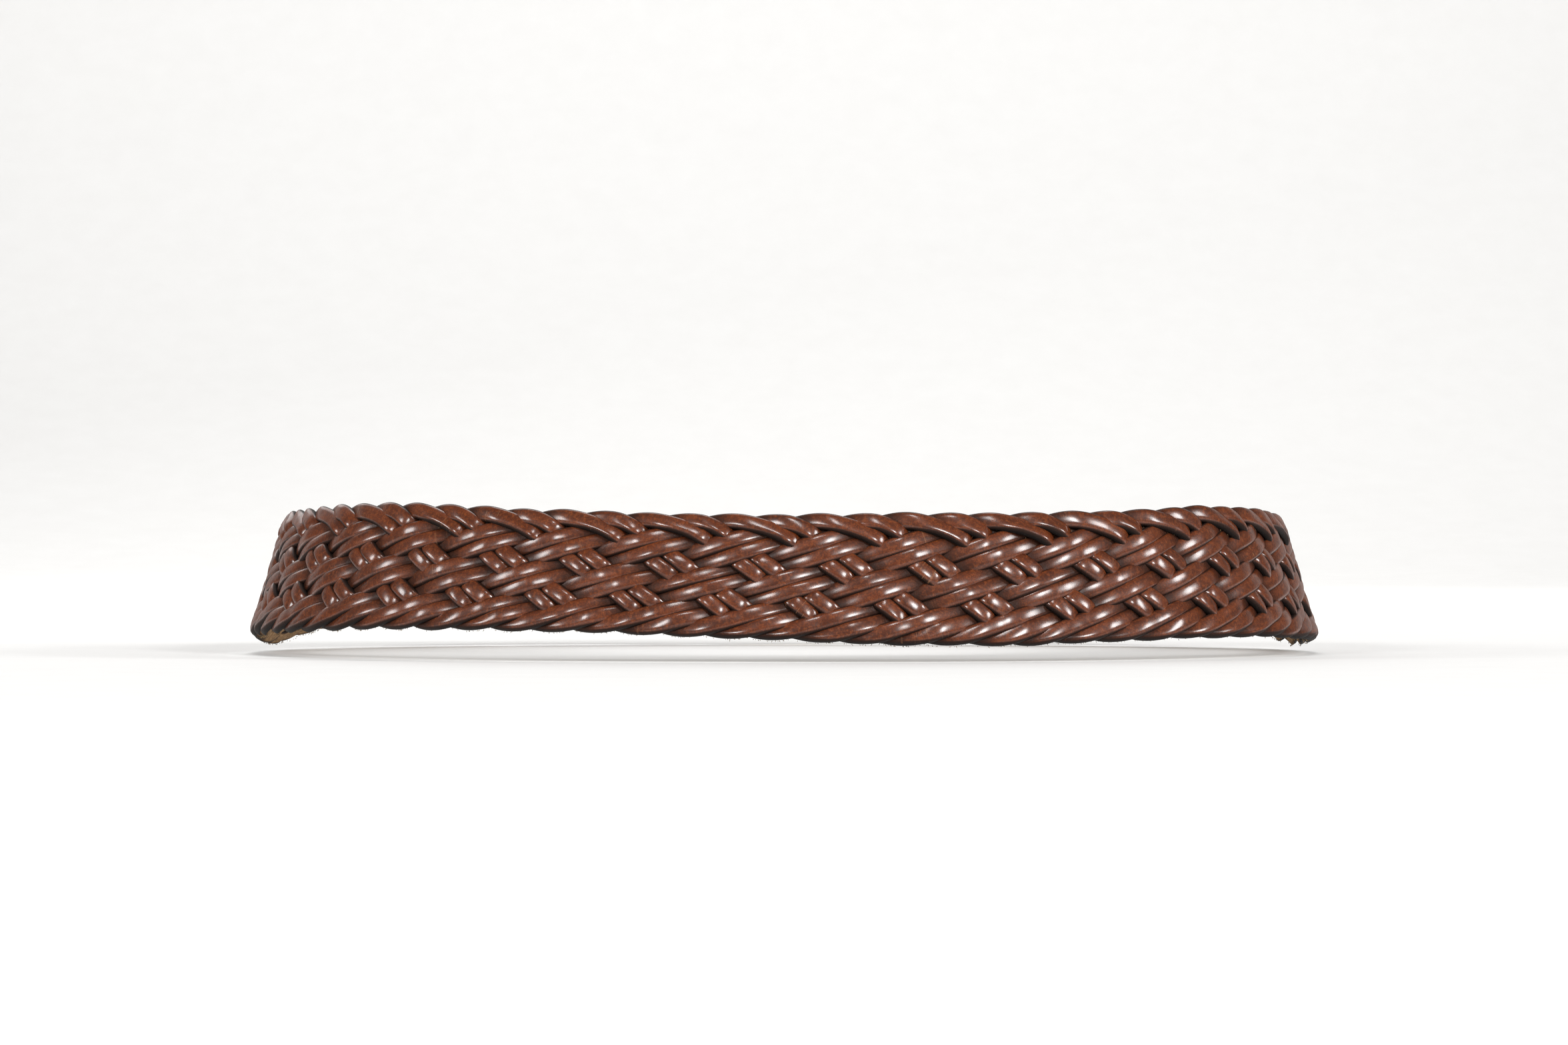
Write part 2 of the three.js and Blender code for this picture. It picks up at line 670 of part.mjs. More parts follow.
function buckle() {
  const half = FRAME_BAR / 2;
  const frame = roundedRectangle(-BAR_Q - half, BAR_Q + half, FRAME_HALF_HEIGHT, FRAME_CORNER);
  frame.holes.push(
    roundedRectangle(-BAR_Q + half, BAR_Q - half, FRAME_HALF_HEIGHT - FRAME_BAR, FRAME_CORNER - half),
  );
  const ring = extruded(
    frame,
    FRAME_BAR,
    1,
    (q, v, depth) => backPlace(q, v, frameRise(q) - half + depth),
    0.8,
  );
  const eyeShape = new THREE.Shape().absarc(BAR_Q, 0, PRONG_EYE_RADIUS, 0, 2 * Math.PI, false);
  const eye = across(eyeShape, PRONG_SLOT / 2 - 2 * GAP);
  const line = new THREE.CatmullRomCurve3([
    new THREE.Vector3(BAR_Q, 0, 0.8),
    new THREE.Vector3(7, 0, 1.0),
    new THREE.Vector3(3.8, 0, 2.2),
    new THREE.Vector3(0.2, 0, 5.0),
    new THREE.Vector3(-4, 0, 6.0),
    new THREE.Vector3(-BAR_Q, 0, FRAME_RISE + half + PRONG_RADIUS - 0.3),
    new THREE.Vector3(-BAR_Q - 4, 0, FRAME_RISE + half + 0.5),
  ]);
  const rings = [];
  for (let i = 0; i <= PRONG_STEPS; i += 1) {
    const p = line.getPointAt(i / PRONG_STEPS);
    const d = line.getTangentAt(i / PRONG_STEPS);
    const radius = PRONG_RADIUS * (i === PRONG_STEPS ? 0.7 : 1);
    const ringPoints = [];
    for (let k = 0; k < PRONG_SIDES; k += 1) {
      const a = (2 * Math.PI * k) / PRONG_SIDES;
      const lift = Math.sin(a) * radius;
      ringPoints.push(backPlace(p.x - d.z * lift, Math.cos(a) * radius, p.z + d.x * lift));
    }
    rings.push(ringPoints);
  }
  return wasm.Manifold.union([ring, eye, loft(rings)]);
}

// A closed leather band round the buckle tab and the strap that lies on it.
function keeper() {
  const inner = {
    v: TAB_HALF_WIDTH + KEEPER.sideGap,
    low: -BUCKLE_TAB_HALF_THICKNESS - GAP,
    high: STRAP_ON_TAB + STRAP + GAP,
  };
  const t = KEEPER.leather;
  const outline = (grow, radius) => {
    const shape = new THREE.Shape();
    const v = inner.v + grow;
    const low = inner.low - grow;
    const high = inner.high + grow;
    shape.moveTo(-v + radius, low);
    shape.lineTo(v - radius, low);
    shape.quadraticCurveTo(v, low, v, low + radius);
    shape.lineTo(v, high - radius);
    shape.quadraticCurveTo(v, high, v - radius, high);
    shape.lineTo(-v + radius, high);
    shape.quadraticCurveTo(-v, high, -v, high - radius);
    shape.lineTo(-v, low + radius);
    shape.quadraticCurveTo(-v, low, -v + radius, low);
    return shape;
  };
  const ring = outline(t, KEEPER.outerCorner);
  ring.holes.push(outline(0, KEEPER.innerCorner));
  return extruded(ring, KEEPER.to - KEEPER.from, 2, (v, n, depth) => backPlace(KEEPER.from + depth, v, n));
}

const belt = new THREE.Group();
const pieces = [
  { name: 'braided_band', make: braidedBand, material: BROWN },
  { name: 'buckle_tab', make: buckleTab, material: TAB_BROWN },
  { name: 'tip_tab', make: tipTab, material: TAB_BROWN },
  { name: 'keeper', make: keeper, material: TAB_BROWN },
  { name: 'buckle', make: buckle, material: BRASS },
];
for (const piece of pieces) {
  const mesh = new THREE.Mesh(toGeometry(piece.make()), piece.material);
  mesh.name = piece.name;
  belt.add(mesh);
}

export default belt;
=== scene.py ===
import math

import bpy
import numpy as np
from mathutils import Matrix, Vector


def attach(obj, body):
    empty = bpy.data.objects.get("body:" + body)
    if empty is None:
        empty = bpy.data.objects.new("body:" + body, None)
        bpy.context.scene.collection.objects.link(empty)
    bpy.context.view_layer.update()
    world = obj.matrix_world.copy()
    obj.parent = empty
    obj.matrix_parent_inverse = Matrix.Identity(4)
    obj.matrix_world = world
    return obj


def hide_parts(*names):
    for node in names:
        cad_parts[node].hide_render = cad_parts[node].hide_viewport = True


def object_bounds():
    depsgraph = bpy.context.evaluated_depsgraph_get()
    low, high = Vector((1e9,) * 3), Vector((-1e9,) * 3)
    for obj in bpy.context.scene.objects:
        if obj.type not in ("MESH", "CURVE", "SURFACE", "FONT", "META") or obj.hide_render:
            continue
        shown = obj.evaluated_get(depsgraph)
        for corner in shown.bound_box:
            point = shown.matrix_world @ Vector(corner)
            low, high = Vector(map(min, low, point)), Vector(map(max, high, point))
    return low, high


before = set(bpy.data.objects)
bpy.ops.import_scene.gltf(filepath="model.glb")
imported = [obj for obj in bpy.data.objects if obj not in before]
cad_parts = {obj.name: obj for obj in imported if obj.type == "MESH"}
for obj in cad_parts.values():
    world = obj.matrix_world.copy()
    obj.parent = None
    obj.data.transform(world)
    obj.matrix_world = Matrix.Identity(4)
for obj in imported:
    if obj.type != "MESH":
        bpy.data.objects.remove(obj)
cad_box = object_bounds()

# The belt is laid out straight, as in its CAD source, and bent round the waist: u runs
# along it from the front centre towards +X, v across it upwards, n out of its outer
# face. Lengths are in millimetres here, and in metres once placed.
MM = 0.001

# The loop in plan: half an oval in front and a shallower half behind. Its direction is
# read over PLAN_STEP, in radians, to both sides.
HALF_WIDTH = 124.8
FRONT_DEPTH = 109.8
BACK_DEPTH = 88.0
SQUARENESS = 2.3
PLAN_SAMPLES = 1440
PLAN_STEP = 0.004

# How the band sits on the waist. Each row is one station round the loop: degrees from
# the front centre, height of the middle line, lean outwards of the lower edge in
# degrees, and the band's full width.
BELT_LINE = np.array(
    [
        (-180, -1.6, 8, 30.0),
        (-140, -0.4, 11, 29.4),
        (-114, 0.3, 14, 28.8),
        (-98, -3.0, 16, 30.8),
        (-86, -0.6, 17, 31.5),
        (-66, 1.3, 16, 31.5),
        (-48, 2.5, 14, 30.6),
        (-31, 1.7, 12, 29.2),
        (-18, 1.1, 12, 28.8),
        (-8, 0.4, 12, 29.4),
        (2, 0.0, 12, 30.2),
        (12, -0.3, 12, 31.3),
        (25, -0.5, 12, 31.5),
        (42, 0.4, 13, 31.2),
        (55, 1.1, 15, 32.1),
        (66, 0.6, 16, 32.2),
        (86, -1.4, 17, 31.8),
        (98, -3.1, 16, 31.0),
        (114, 0.2, 14, 28.8),
        (140, -0.5, 11, 29.4),
        (180, -1.6, 8, 30.0),
    ]
)
ANGLE, RISE, FLARE, WIDTH = range(4)
NOMINAL_WIDTH = 30.0

# The braid. A lace climbs from a lower corner to an upper one over CLIMB_SHARE of its
# cycle and falls over the rest. The two laces of a pair part by twice the pair shift.
LACES = 14
PAIRS_ROUND = 36
CLIMB_SHARE = 0.695
CORNER_HEIGHT = 30.1
CORNER_ROUNDING = 9.9
PAIR_SHIFT_UP = 0.24
PAIR_SHIFT_DOWN = 1.4
BUNCHING_SHARE = 0.3
PHASE = -6.4
CROSSING_REACH = 4.5
CROSSING_SAMPLES = 181
RING_STEP = 0.6

# A lace's width, its rise above and below its middle, and its height in the weave.
LACE_WIDTH = 3.95
WIDTH_MIDWAY = 0.97
WIDTH_GAIN_ON_TOP = 0.04
LACE_CROWN = 1.2
LACE_BULGE = 0.08
LACE_BASE = 0.95
MIDDLE_DEPTH = 0.1
WEAVE_HEIGHT = 0.98
ARCHING = 1.5
FALL_ARCHING = 0.4

# How a lace rolls, in degrees, and where, in millimetres from its corners.
ROLL = 5.0
ROLL_LOWER_TURN = 15.0
ROLL_UPPER_FALL = 17.0
LOWER_TURN_ENDS = (4, 13)
UPPER_FALL_STARTS = (-3, 5)
UPPER_FALL_ENDS = (10, 20)

# A lace's slow irregularities: how large, the first lace's seed, and the wavelength.
WANDERS = {
    "across": (0.2, 11, 23),
    "height": (0.07, 31, 17),
    "width": (0.06, 51, 31),
    "roll": (0.45, 71, 19),
    "twist": (math.radians(7), 91, 43),
}
WANDER_WAVES = 4
WANDER_STRETCH = (0.7, 1.5)

# Added along each next lace, so that no two have the same pattern of wear.
PATTERN_SHIFT = 800.0

# The closure at the back. q is the distance from the back centre, positive towards -X.
BUCKLE_TAB_BRAID_END = 54.0
TIP_TAB_BRAID_END = -36.0
POCKET_LENGTH = 16.0
POCKET_SQUEEZE = 0.69
POCKET_MIDDLE = -0.75
POCKET_FLATTENING = 0.5
SQUEEZE_REACH = 9.0
TAB_HALF_WIDTH = 11.8
TAB_STEP = 0.7
LEATHER = 1.5
POCKET_OUTER = 0.6
POCKET_INNER = -2.1
BAR_Q = 12.0
FOLD_RADIUS = 3.15
FOLD_HALF_WIDTH = 10.0
PRONG_SLOT = (BAR_Q - 8, BAR_Q + 6, 2.3)
STRAP = 2.2
STRAP_TIP_FROM = 38.0
STRAP_TIP_REACH = 11.5
STRAP_TIP_TURN = 86
HOLE_RADIUS = 2.0
SPARE_HOLES_Q = (-19.0, 21.0)
PRONG_HOLE = (-1.6, 5.6, 1.9)
KEEPER_FROM = 27.0
KEEPER_TO = 35.0
KEEPER_LEATHER = 1.4
KEEPER_INNER = (12.3, -2.0, 4.5)
KEEPER_CORNER = 1.3
FRAME_RISE = 3.2
FRAME_BAR = 2.8
FRAME_EDGE = 0.95
FRAME_HALF_HEIGHT = 15.0
FRAME_CORNER = 4.0
PRONG_RADIUS = 1.2
PRONG_EYE_RADIUS = 2.7
PRONG_EYE_HALF_WIDTH = 1.7

# The strap's underside: where it runs inside the buckle's front bar, over the bar that
# holds the other tab, and down onto that tab.
STRAP_Q = (-34, -27, -20, -14, -9.5, -5, 0, 5, 9, 13, 17, 21, 25, 31, 38, 44, 50)
STRAP_UNDERSIDE = (
    *(-1.1, -1, -0.9, -0.9, -0.8, 0.4, 1.9, 3.5, 4.3),
    *(4.35, 3.5, 2.4, 2, 2, 2, 2.1, 2.45),
)

# The prong's middle, as (q, n), from the bar to past the frame's far side.
PRONG_PATH = np.array(
    [
        (BAR_Q, 0.8),
        (7, 1.0),
        (3.8, 2.2),
        (0.2, 5.0),
        (-4, 6.0),
        (-BAR_Q, FRAME_RISE + FRAME_BAR / 2 + PRONG_RADIUS - 0.3),
        (-BAR_Q - 4, FRAME_RISE + FRAME_BAR / 2 + 0.5),
    ]
)

# Stitches: how they lie on the leather, and where their lines run.
STITCH_PITCH = 3.1
STITCH_LENGTH = 2.3
STITCH_RINGS = 7
STITCH_RISE = 0.22
STITCH_SINK = 0.16
STITCH_SLANT = 0.12
THREAD_RADIUS = 0.3
THREAD_SIDES = 6
STITCH_INSET = 1.7
CROSS_ROW_REACH = TAB_HALF_WIDTH - 3.4
KEEPER_ROW_INSET = 2.2
KEEPER_ROW_REACH = 3.6
SEWN_GAP = 0.02

# Frayed fibres: how many are drawn, where, and the ranges they are drawn from.
FIBRES = 2600
FIBRE_SEED = 5
FIBRES_AT_TOP = 0.3
FRAY_UPPER_TURN = (-3, 11)
FRAY_LOWER_TURN = (-7, 7)
FIBRE_ROOT_SHARE = 0.93
FIBRE_DEPTH = (0.2, 0.7)
FIBRE_OUTWARDS = (0.5, 1.0)
FIBRE_ALONG = (-0.7, 0.7)
FIBRE_UPWARDS = (-0.2, 0.4)
FIBRE_REACH = (0.2, 0.5)
FIBRE_CURL = 0.35
FIBRE_RINGS = ((0.0, 0.09), (0.5, 0.07))
FIBRE_CORNERS = np.radians((90, 210, 330))
SLOPE_STEP = 0.1

# The camera stands level with a point just above the belt.
CAMERA_DISTANCE = 1.5
CAMERA_HEIGHT = 0.0127
FOCAL_PIXELS = 9100
IMAGE_WIDTH = 2352
SENSOR_WIDTH = 36.0

# The floor and the wall it curves up into, in metres.
FLOOR_GAP = 0.0015
FLOOR_NEAR = -3.0
FLOOR_FAR = 1.6
FLOOR_SIDE = 4.0
WALL_HEIGHT = 2.2
WALL_BEND = 0.9
BEND_STEPS = 12

# Each light's name, place and aim in metres, width in metres and power in watts.
LIGHTS = (
    ("left_front", (-0.85, -1.6, 0.75), (0, 0, 0), 0.36, 9.8),
    ("right_front", (0.85, -1.6, 0.82), (0, 0, 0), 0.36, 15.0),
    ("left_side", (-1.6, -0.65, 0.65), (0, 0, 0), 0.46, 9.5),
    ("right_side", (1.6, -0.65, 0.7), (0, 0, 0), 0.46, 14.0),
    ("top", (0.1, -1.2, 1.4), (0, 0, 0), 0.3, 5.0),
    ("rear", (-0.5, 1.2, 1.0), (0, 0, 0), 1.3, 7.0),
    ("wall", (0.0, 0.9, 1.9), (0, 2.5, 0.2), 1.4, 33.0),
)
WORLD_COLOUR = (1.0, 0.96, 0.9, 1)
WORLD_STRENGTH = 0.12

# Colours
FLOOR_SHADE = (0.78, 0.775, 0.765, 1)
FLOOR_PALE = (0.82, 0.817, 0.81, 1)
GRAIN = (0.138, 0.029, 0.0065, 1)
GRAIN_DARK = (0.068, 0.0145, 0.004, 1)
GRAIN_WARM = (0.215, 0.054, 0.014, 1)
PORES = (0.04, 0.013, 0.007, 1)
# near-black for the lace tops: partly real edge burnish, partly painted shade along the edges and
# where a lace dives under others
BURNISH_AND_SHADE = (0.022, 0.011, 0.008, 1)
CRACKED = (0.28, 0.13, 0.06, 1)
CUT_EDGE = (0.012, 0.009, 0.008, 1)
SUEDE = (0.3, 0.19, 0.1, 1)
SUEDE_DARK = (0.17, 0.1, 0.052, 1)
FIBRE_DARK = (0.12, 0.075, 0.035, 1)
FIBRE_PALE = (0.34, 0.23, 0.11, 1)
TAB = (0.115, 0.028, 0.009, 1)
TAB_DARK = (0.062, 0.016, 0.006, 1)
TAB_WARM = (0.16, 0.045, 0.015, 1)
TAB_CREASE = (0.02, 0.01, 0.007, 1)
TAB_EDGE = (0.014, 0.009, 0.007, 1)
THREAD_DARK = (0.2, 0.105, 0.05, 1)
THREAD_PALE = (0.34, 0.2, 0.1, 1)
BRASS = (0.62, 0.45, 0.2, 1)
TARNISHED = (0.26, 0.17, 0.08, 1)


# Camera, floor and light


def make_camera():
    data = bpy.data.cameras.new("camera")
    data.sensor_width = SENSOR_WIDTH
    data.lens = SENSOR_WIDTH * FOCAL_PIXELS / IMAGE_WIDTH
    data.clip_start = 0.01
    camera = bpy.data.objects.new("camera", data)
    camera.location = (0, -CAMERA_DISTANCE, CAMERA_HEIGHT)
    camera.rotation_euler = (math.radians(90), 0, 0)
    bpy.context.collection.objects.link(camera)
    bpy.context.scene.camera = camera


def node_material(name):
    material = bpy.data.materials.new(name)
    material.use_nodes = True
    tree = material.node_tree
    tree.nodes.clear()
    output = tree.nodes.new("ShaderNodeOutputMaterial")
    shader = tree.nodes.new("ShaderNodeBsdfPrincipled")
    tree.links.new(shader.outputs["BSDF"], output.inputs["Surface"])
    return material, tree, shader


def make_floor():
    """A pale floor that curves up into a wall behind the belt."""
    level = cad_box[0].z - FLOOR_GAP
    profile = [(FLOOR_NEAR, level), (FLOOR_FAR, level)]
    for i in range(1, BEND_STEPS + 1):
        a = math.radians(90) * i / BEND_STEPS
        rise = WALL_BEND * (1 - math.cos(a))
        profile.append((FLOOR_FAR + WALL_BEND * math.sin(a), level + rise))
    profile.append((FLOOR_FAR + WALL_BEND, level + WALL_HEIGHT))
    vertices = [(x, y, z) for y, z in profile for x in (-FLOOR_SIDE, FLOOR_SIDE)]
    faces = [(2 * i, 2 * i + 1, 2 * i + 3, 2 * i + 2) for i in range(len(profile) - 1)]
    mesh = bpy.data.meshes.new("floor")
    mesh.from_pydata(vertices, [], faces)
    for face in mesh.polygons:
        face.use_smooth = True
    floor = bpy.data.objects.new("floor", mesh)
    bpy.context.collection.objects.link(floor)
    material, tree, shader = node_material("pale_floor")
    k = Nodes(tree)
    speckle = k.noise(k.position(), 60.0, 4.0)
    k.put(shader.inputs["Base Color"], k.mix(speckle, FLOOR_SHADE, FLOOR_PALE))
    shader.inputs["Roughness"].default_value = 0.8
    mesh.materials.append(material)


def make_lights():
    for name, spot, aim, size, power in LIGHTS:
        data = bpy.data.lights.new(name, "AREA")
        data.shape = "DISK"
        data.size = size
        data.energy = power
        light = bpy.data.objects.new(name, data)
        light.location = spot
        towards = Vector(aim) - Vector(spot)
        light.rotation_euler = towards.to_track_quat("-Z", "Y").to_euler()
        bpy.context.collection.objects.link(light)
    world = bpy.data.worlds.new("studio")
    world.use_nodes = True
    background = world.node_tree.nodes["Background"]
    background.inputs["Color"].default_value = WORLD_COLOUR
    background.inputs["Strength"].default_value = WORLD_STRENGTH
    bpy.context.scene.world = world
    bpy.context.scene.view_settings.view_transform = "Standard"


# The bent belt


def hermite(t, start, end, start_slope, end_slope):
    """A cubic from start to end as t goes from 0 to 1, with its slopes at both."""
    return (
        (2 * t**3 - 3 * t**2 + 1) * start
        + (t**3 - 2 * t**2 + t) * start_slope
        + (3 * t**2 - 2 * t**3) * end
        + (t**3 - t**2) * end_slope
    )


def belt_line(degrees, column):
    """A smooth curve through one column of BELT_LINE."""
    angles, values = BELT_LINE[:, ANGLE], BELT_LINE[:, column]
    angles = np.concatenate([[angles[-2] - 360], angles, [angles[1] + 360]])
    values = np.concatenate([[values[-2]], values, [values[1]]])
    i = np.clip(np.searchsorted(angles, degrees, side="right") - 1, 1, len(angles) - 3)
    span = angles[i + 1] - angles[i]
    slope_a = (values[i + 1] - values[i - 1]) / (angles[i + 1] - angles[i - 1]) * span
    slope_b = (values[i + 2] - values[i]) / (angles[i + 2] - angles[i]) * span
    return hermite((degrees - angles[i]) / span, values[i], values[i + 1], slope_a, slope_b)


def plan_point(angle):
    s, c = np.sin(angle), np.cos(angle)
    depth = np.where(c > 0, FRONT_DEPTH, BACK_DEPTH)
    reach = (np.abs(s) / HALF_WIDTH) ** SQUARENESS + (np.abs(c) / depth) ** SQUARENESS
    r = reach ** (-1 / SQUARENESS)
    return np.stack([r * s, -r * c], -1)


plan_angles = np.linspace(-math.pi, math.pi, PLAN_SAMPLES + 1)
plan_steps = np.linalg.norm(np.diff(plan_point(plan_angles), axis=0), axis=1)
plan_lengths = np.concatenate([[0], np.cumsum(plan_steps)])
LOOP = plan_lengths[-1]
HALF_LOOP = plan_lengths[PLAN_SAMPLES // 2]
REPEAT = LOOP / PAIRS_ROUND
CYCLE = REPEAT * LACES / 2
CLIMB = CYCLE * CLIMB_SHARE
FALL = CYCLE - CLIMB


def place(u, v, n):
    """From the straight belt, in millimetres, to the loop, in metres."""
    u, v, n = (np.asarray(a, float) for a in (u, v, n))
    angle = np.interp((u + HALF_LOOP) % LOOP, plan_lengths, plan_angles)
    degrees = np.degrees(angle)
    middle = plan_point(angle)
    along = plan_point(angle + PLAN_STEP) - plan_point(angle - PLAN_STEP)
    along /= np.linalg.norm(along, axis=-1, keepdims=True)
    out = np.stack([along[..., 1], -along[..., 0], np.zeros_like(angle)], -1)
    up = np.array([0.0, 0.0, 1.0])
    flare = np.radians(belt_line(degrees, FLARE))[..., None]
    across = up * np.cos(flare) - out * np.sin(flare)
    face = out * np.cos(flare) + up * np.sin(flare)
    stretch = belt_line(degrees, WIDTH) / NOMINAL_WIDTH
    base = np.concatenate([middle, belt_line(degrees, RISE)[..., None]], -1)
    return (base + across * (v * stretch)[..., None] + face * n[..., None]) * MM


def back_place(q, v, n):
    return place(LOOP / 2 + np.asarray(q, float), v, n)


# The braid


def smooth_step(x, low, high):
    s = np.clip((x - low) / (high - low), 0, 1)
    return s * s * (3 - 2 * s)


def smooth_min(a, b, width):
    h = np.maximum(width - np.abs(a - b), 0) / width
    return np.minimum(a, b) - h * h * width / 4


def lace_corner(index):
    """Where along the belt a lace has one of its lower corners."""
    return PHASE + index * REPEAT / 2


def lace_across(x, big):
    """Where a lace's middle lies across the belt, x beyond one of its lower corners."""
    x = (np.asarray(x, float) + FALL / 2) % CYCLE - FALL / 2
    half = CORNER_HEIGHT / 2
    climbing = -half + CORNER_HEIGHT * x / CLIMB
    falling = half - CORNER_HEIGHT * (x - CLIMB) / FALL
    falling_before = -half - CORNER_HEIGHT * x / FALL
    upper_turn = smooth_min(climbing, falling, CORNER_ROUNDING)
    line = -smooth_min(-upper_turn, -falling_before, CORNER_ROUNDING)
    fall_share = np.clip(np.where(x < 0, (x + FALL) / FALL, (x - CLIMB) / FALL), 0, 1)
    climb_arch = np.sin(np.pi * np.clip(x, 0, CLIMB) / CLIMB)
    settled = np.where((x < 0) | (x > CLIMB), 0, climb_arch)
    bunching = smooth_step(np.minimum(fall_share, 1 - fall_share), 0, BUNCHING_SHARE)
    shift = PAIR_SHIFT_UP * settled + PAIR_SHIFT_DOWN * bunching
    return line + (shift if big else -shift)


# The crossings at which a lace lies on top, counted from its lower corner: 14 is the
# upper corner. A big lace turns outside its neighbour at both edges of the belt.
ON_TOP = {
    True: {1, 2, 3, 6, 7, 10, 11, 15, 16, 17, 20, 21, 24, 25},
    False: {1, 2, 5, 6, 9, 10, 15, 16, 19, 20, 23, 24},
}


def crossings(big):
    """Places of a lace's crossings along the belt, and +1 on top or -1 beneath."""
    places, sides = [], []
    for count in range(1, 2 * LACES):
        if count == LACES:
            continue
        other_big = big if count % 2 == 0 else not big
        offset = (count - LACES) * REPEAT / 2
        nominal = CLIMB * count / LACES
        if count > LACES:
            nominal = CLIMB + FALL * (count - LACES) / LACES
        x = np.linspace(nominal - CROSSING_REACH, nominal + CROSSING_REACH, CROSSING_SAMPLES)
        apart = lace_across(x, big) - lace_across(x - offset, other_big)
        changes = np.nonzero(np.sign(apart[:-1]) != np.sign(apart[1:]))[0]
        i = changes[np.argmin(np.abs(x[changes] - nominal))]
        places.append(x[i] + (x[i + 1] - x[i]) * apart[i] / (apart[i] - apart[i + 1]))
        sides.append(1.0 if count in ON_TOP[big] else -1.0)
    return np.array(places), np.array(sides)


CROSSINGS = {big: crossings(big) for big in (True, False)}


def weave_height(x, big):
    """Height of a lace's middle, -1 beneath to +1 on top, and how far into a float it is."""
    at, side = CROSSINGS[big]
    at = np.concatenate([at[-2:] - CYCLE, at, at[:2] + CYCLE])
    side = np.concatenate([side[-2:], side, side[:2]])
    x = np.asarray(x, float) % CYCLE
    i = np.clip(np.searchsorted(at, x) - 1, 0, len(at) - 2)
    span = at[i + 1] - at[i]
    t = np.clip((x - at[i]) / span, 0, 1)
    slopes = np.where((at > 0) & (at < CLIMB), ARCHING, FALL_ARCHING) * np.gradient(side, at)
    height = hermite(t, side[i], side[i + 1], slopes[i] * span, slopes[i + 1] * span)
    arch = np.where((side[i] > 0) & (side[i + 1] > 0), np.sin(np.pi * t) ** 2, 0)
    return height, arch


def wander(s, kind, index):
    """A slow, repeatable irregularity of one lace, within about its size in WANDERS."""
    size, seed, wavelength = WANDERS[kind]
    rng = np.random.default_rng(seed + index)
    total = np.zeros_like(s)
    for k in range(WANDER_WAVES):
        phase, stretch = rng.uniform(0, 2 * np.pi), rng.uniform(*WANDER_STRETCH)
        total += np.sin(2 * np.pi * s / (wavelength * stretch * (1 + k)) + phase)
    return size * total / (WANDER_WAVES - 1)


# A lace's cross-section, going round it. Each row is one point: how far across, as a
# share of the half width, its height, as a share of the crown or the base, and how far
# it is cut edge and flesh side.
SECTION = np.array(
    [
        (-0.86, 0.72, 0, 0),
        (-0.66, 0.9, 0, 0),
        (-0.36, 0.985, 0, 0),
        (0.0, 1.0, 0, 0),
        (0.36, 0.985, 0, 0),
        (0.66, 0.9, 0, 0),
        (0.86, 0.72, 0, 0),
        (0.97, 0.42, 0.3, 0),
        (1.0, 0.0, 1, 0),
        (0.98, -0.55, 1, 0),
        (0.90, -0.84, 0.7, 0.3),
        (0.40, -0.9, 0, 1),
        (-0.40, -0.9, 0, 1),
        (-0.90, -0.84, 0.7, 0.3),
        (-0.98, -0.55, 1, 0),
        (-1.0, 0.0, 1, 0),
        (-0.97, 0.42, 0.3, 0),
    ]
)


def tube_sides(rows, columns, closed=False):
    """Quads round and along a tube of points. A closed one ends at its own start."""
    i, k = np.meshgrid(np.arange(rows if closed else rows - 1), np.arange(columns), indexing="ij")
    here, ahead, beside = i * columns, (i + 1) % rows * columns, (k + 1) % columns
    quads = np.stack([here + k, ahead + k, ahead + beside, here + beside], -1)
    return quads.reshape(-1, 4).tolist()


def closed_tube(rows, columns):
    """The sides of a tube of points, with its two ends."""
    last = (rows - 1) * columns
    ends = [list(range(columns)), list(range(last, last + columns))[::-1]]
    return tube_sides(rows, columns) + ends


def add_mesh(name, points, faces, material, attributes=None):
    mesh = bpy.data.meshes.new(name)
    mesh.from_pydata([tuple(p) for p in points], [], faces)
    mesh.shade_smooth()
    for key, values in (attributes or {}).items():
        attribute = mesh.attributes.new(key, "FLOAT", "POINT")
        attribute.data.foreach_set("value", np.asarray(values, np.float32))
    mesh.materials.append(material)
    piece = bpy.data.objects.new(name, mesh)
    bpy.context.collection.objects.link(piece)
    return piece


def pocket_share(u):
    """How far a point along the braid is into the tabs' pockets, 0 outside to 1 inside."""
    into_buckle_tab = -LOOP / 2 + BUCKLE_TAB_BRAID_END + POCKET_LENGTH + SQUEEZE_REACH - u
    into_tip_tab = u - (LOOP / 2 + TIP_TAB_BRAID_END - POCKET_LENGTH - SQUEEZE_REACH)
    return smooth_step(np.maximum(into_buckle_tab, into_tip_tab), 0, SQUEEZE_REACH)


def roll_angle(x):
    """How far a lace rolls its lower edge outwards, in radians: most at the lower turn and
    where it comes down from the upper one."""
    x = np.asarray(x, float) % CYCLE
    lower = 1 - smooth_step(np.minimum(x, CYCLE - x), *LOWER_TURN_ENDS)
    upper = smooth_step(x - CLIMB, *UPPER_FALL_STARTS)
    upper *= 1 - smooth_step(x - CLIMB, *UPPER_FALL_ENDS)
    return np.radians(ROLL + ROLL_LOWER_TURN * lower + ROLL_UPPER_FALL * upper)


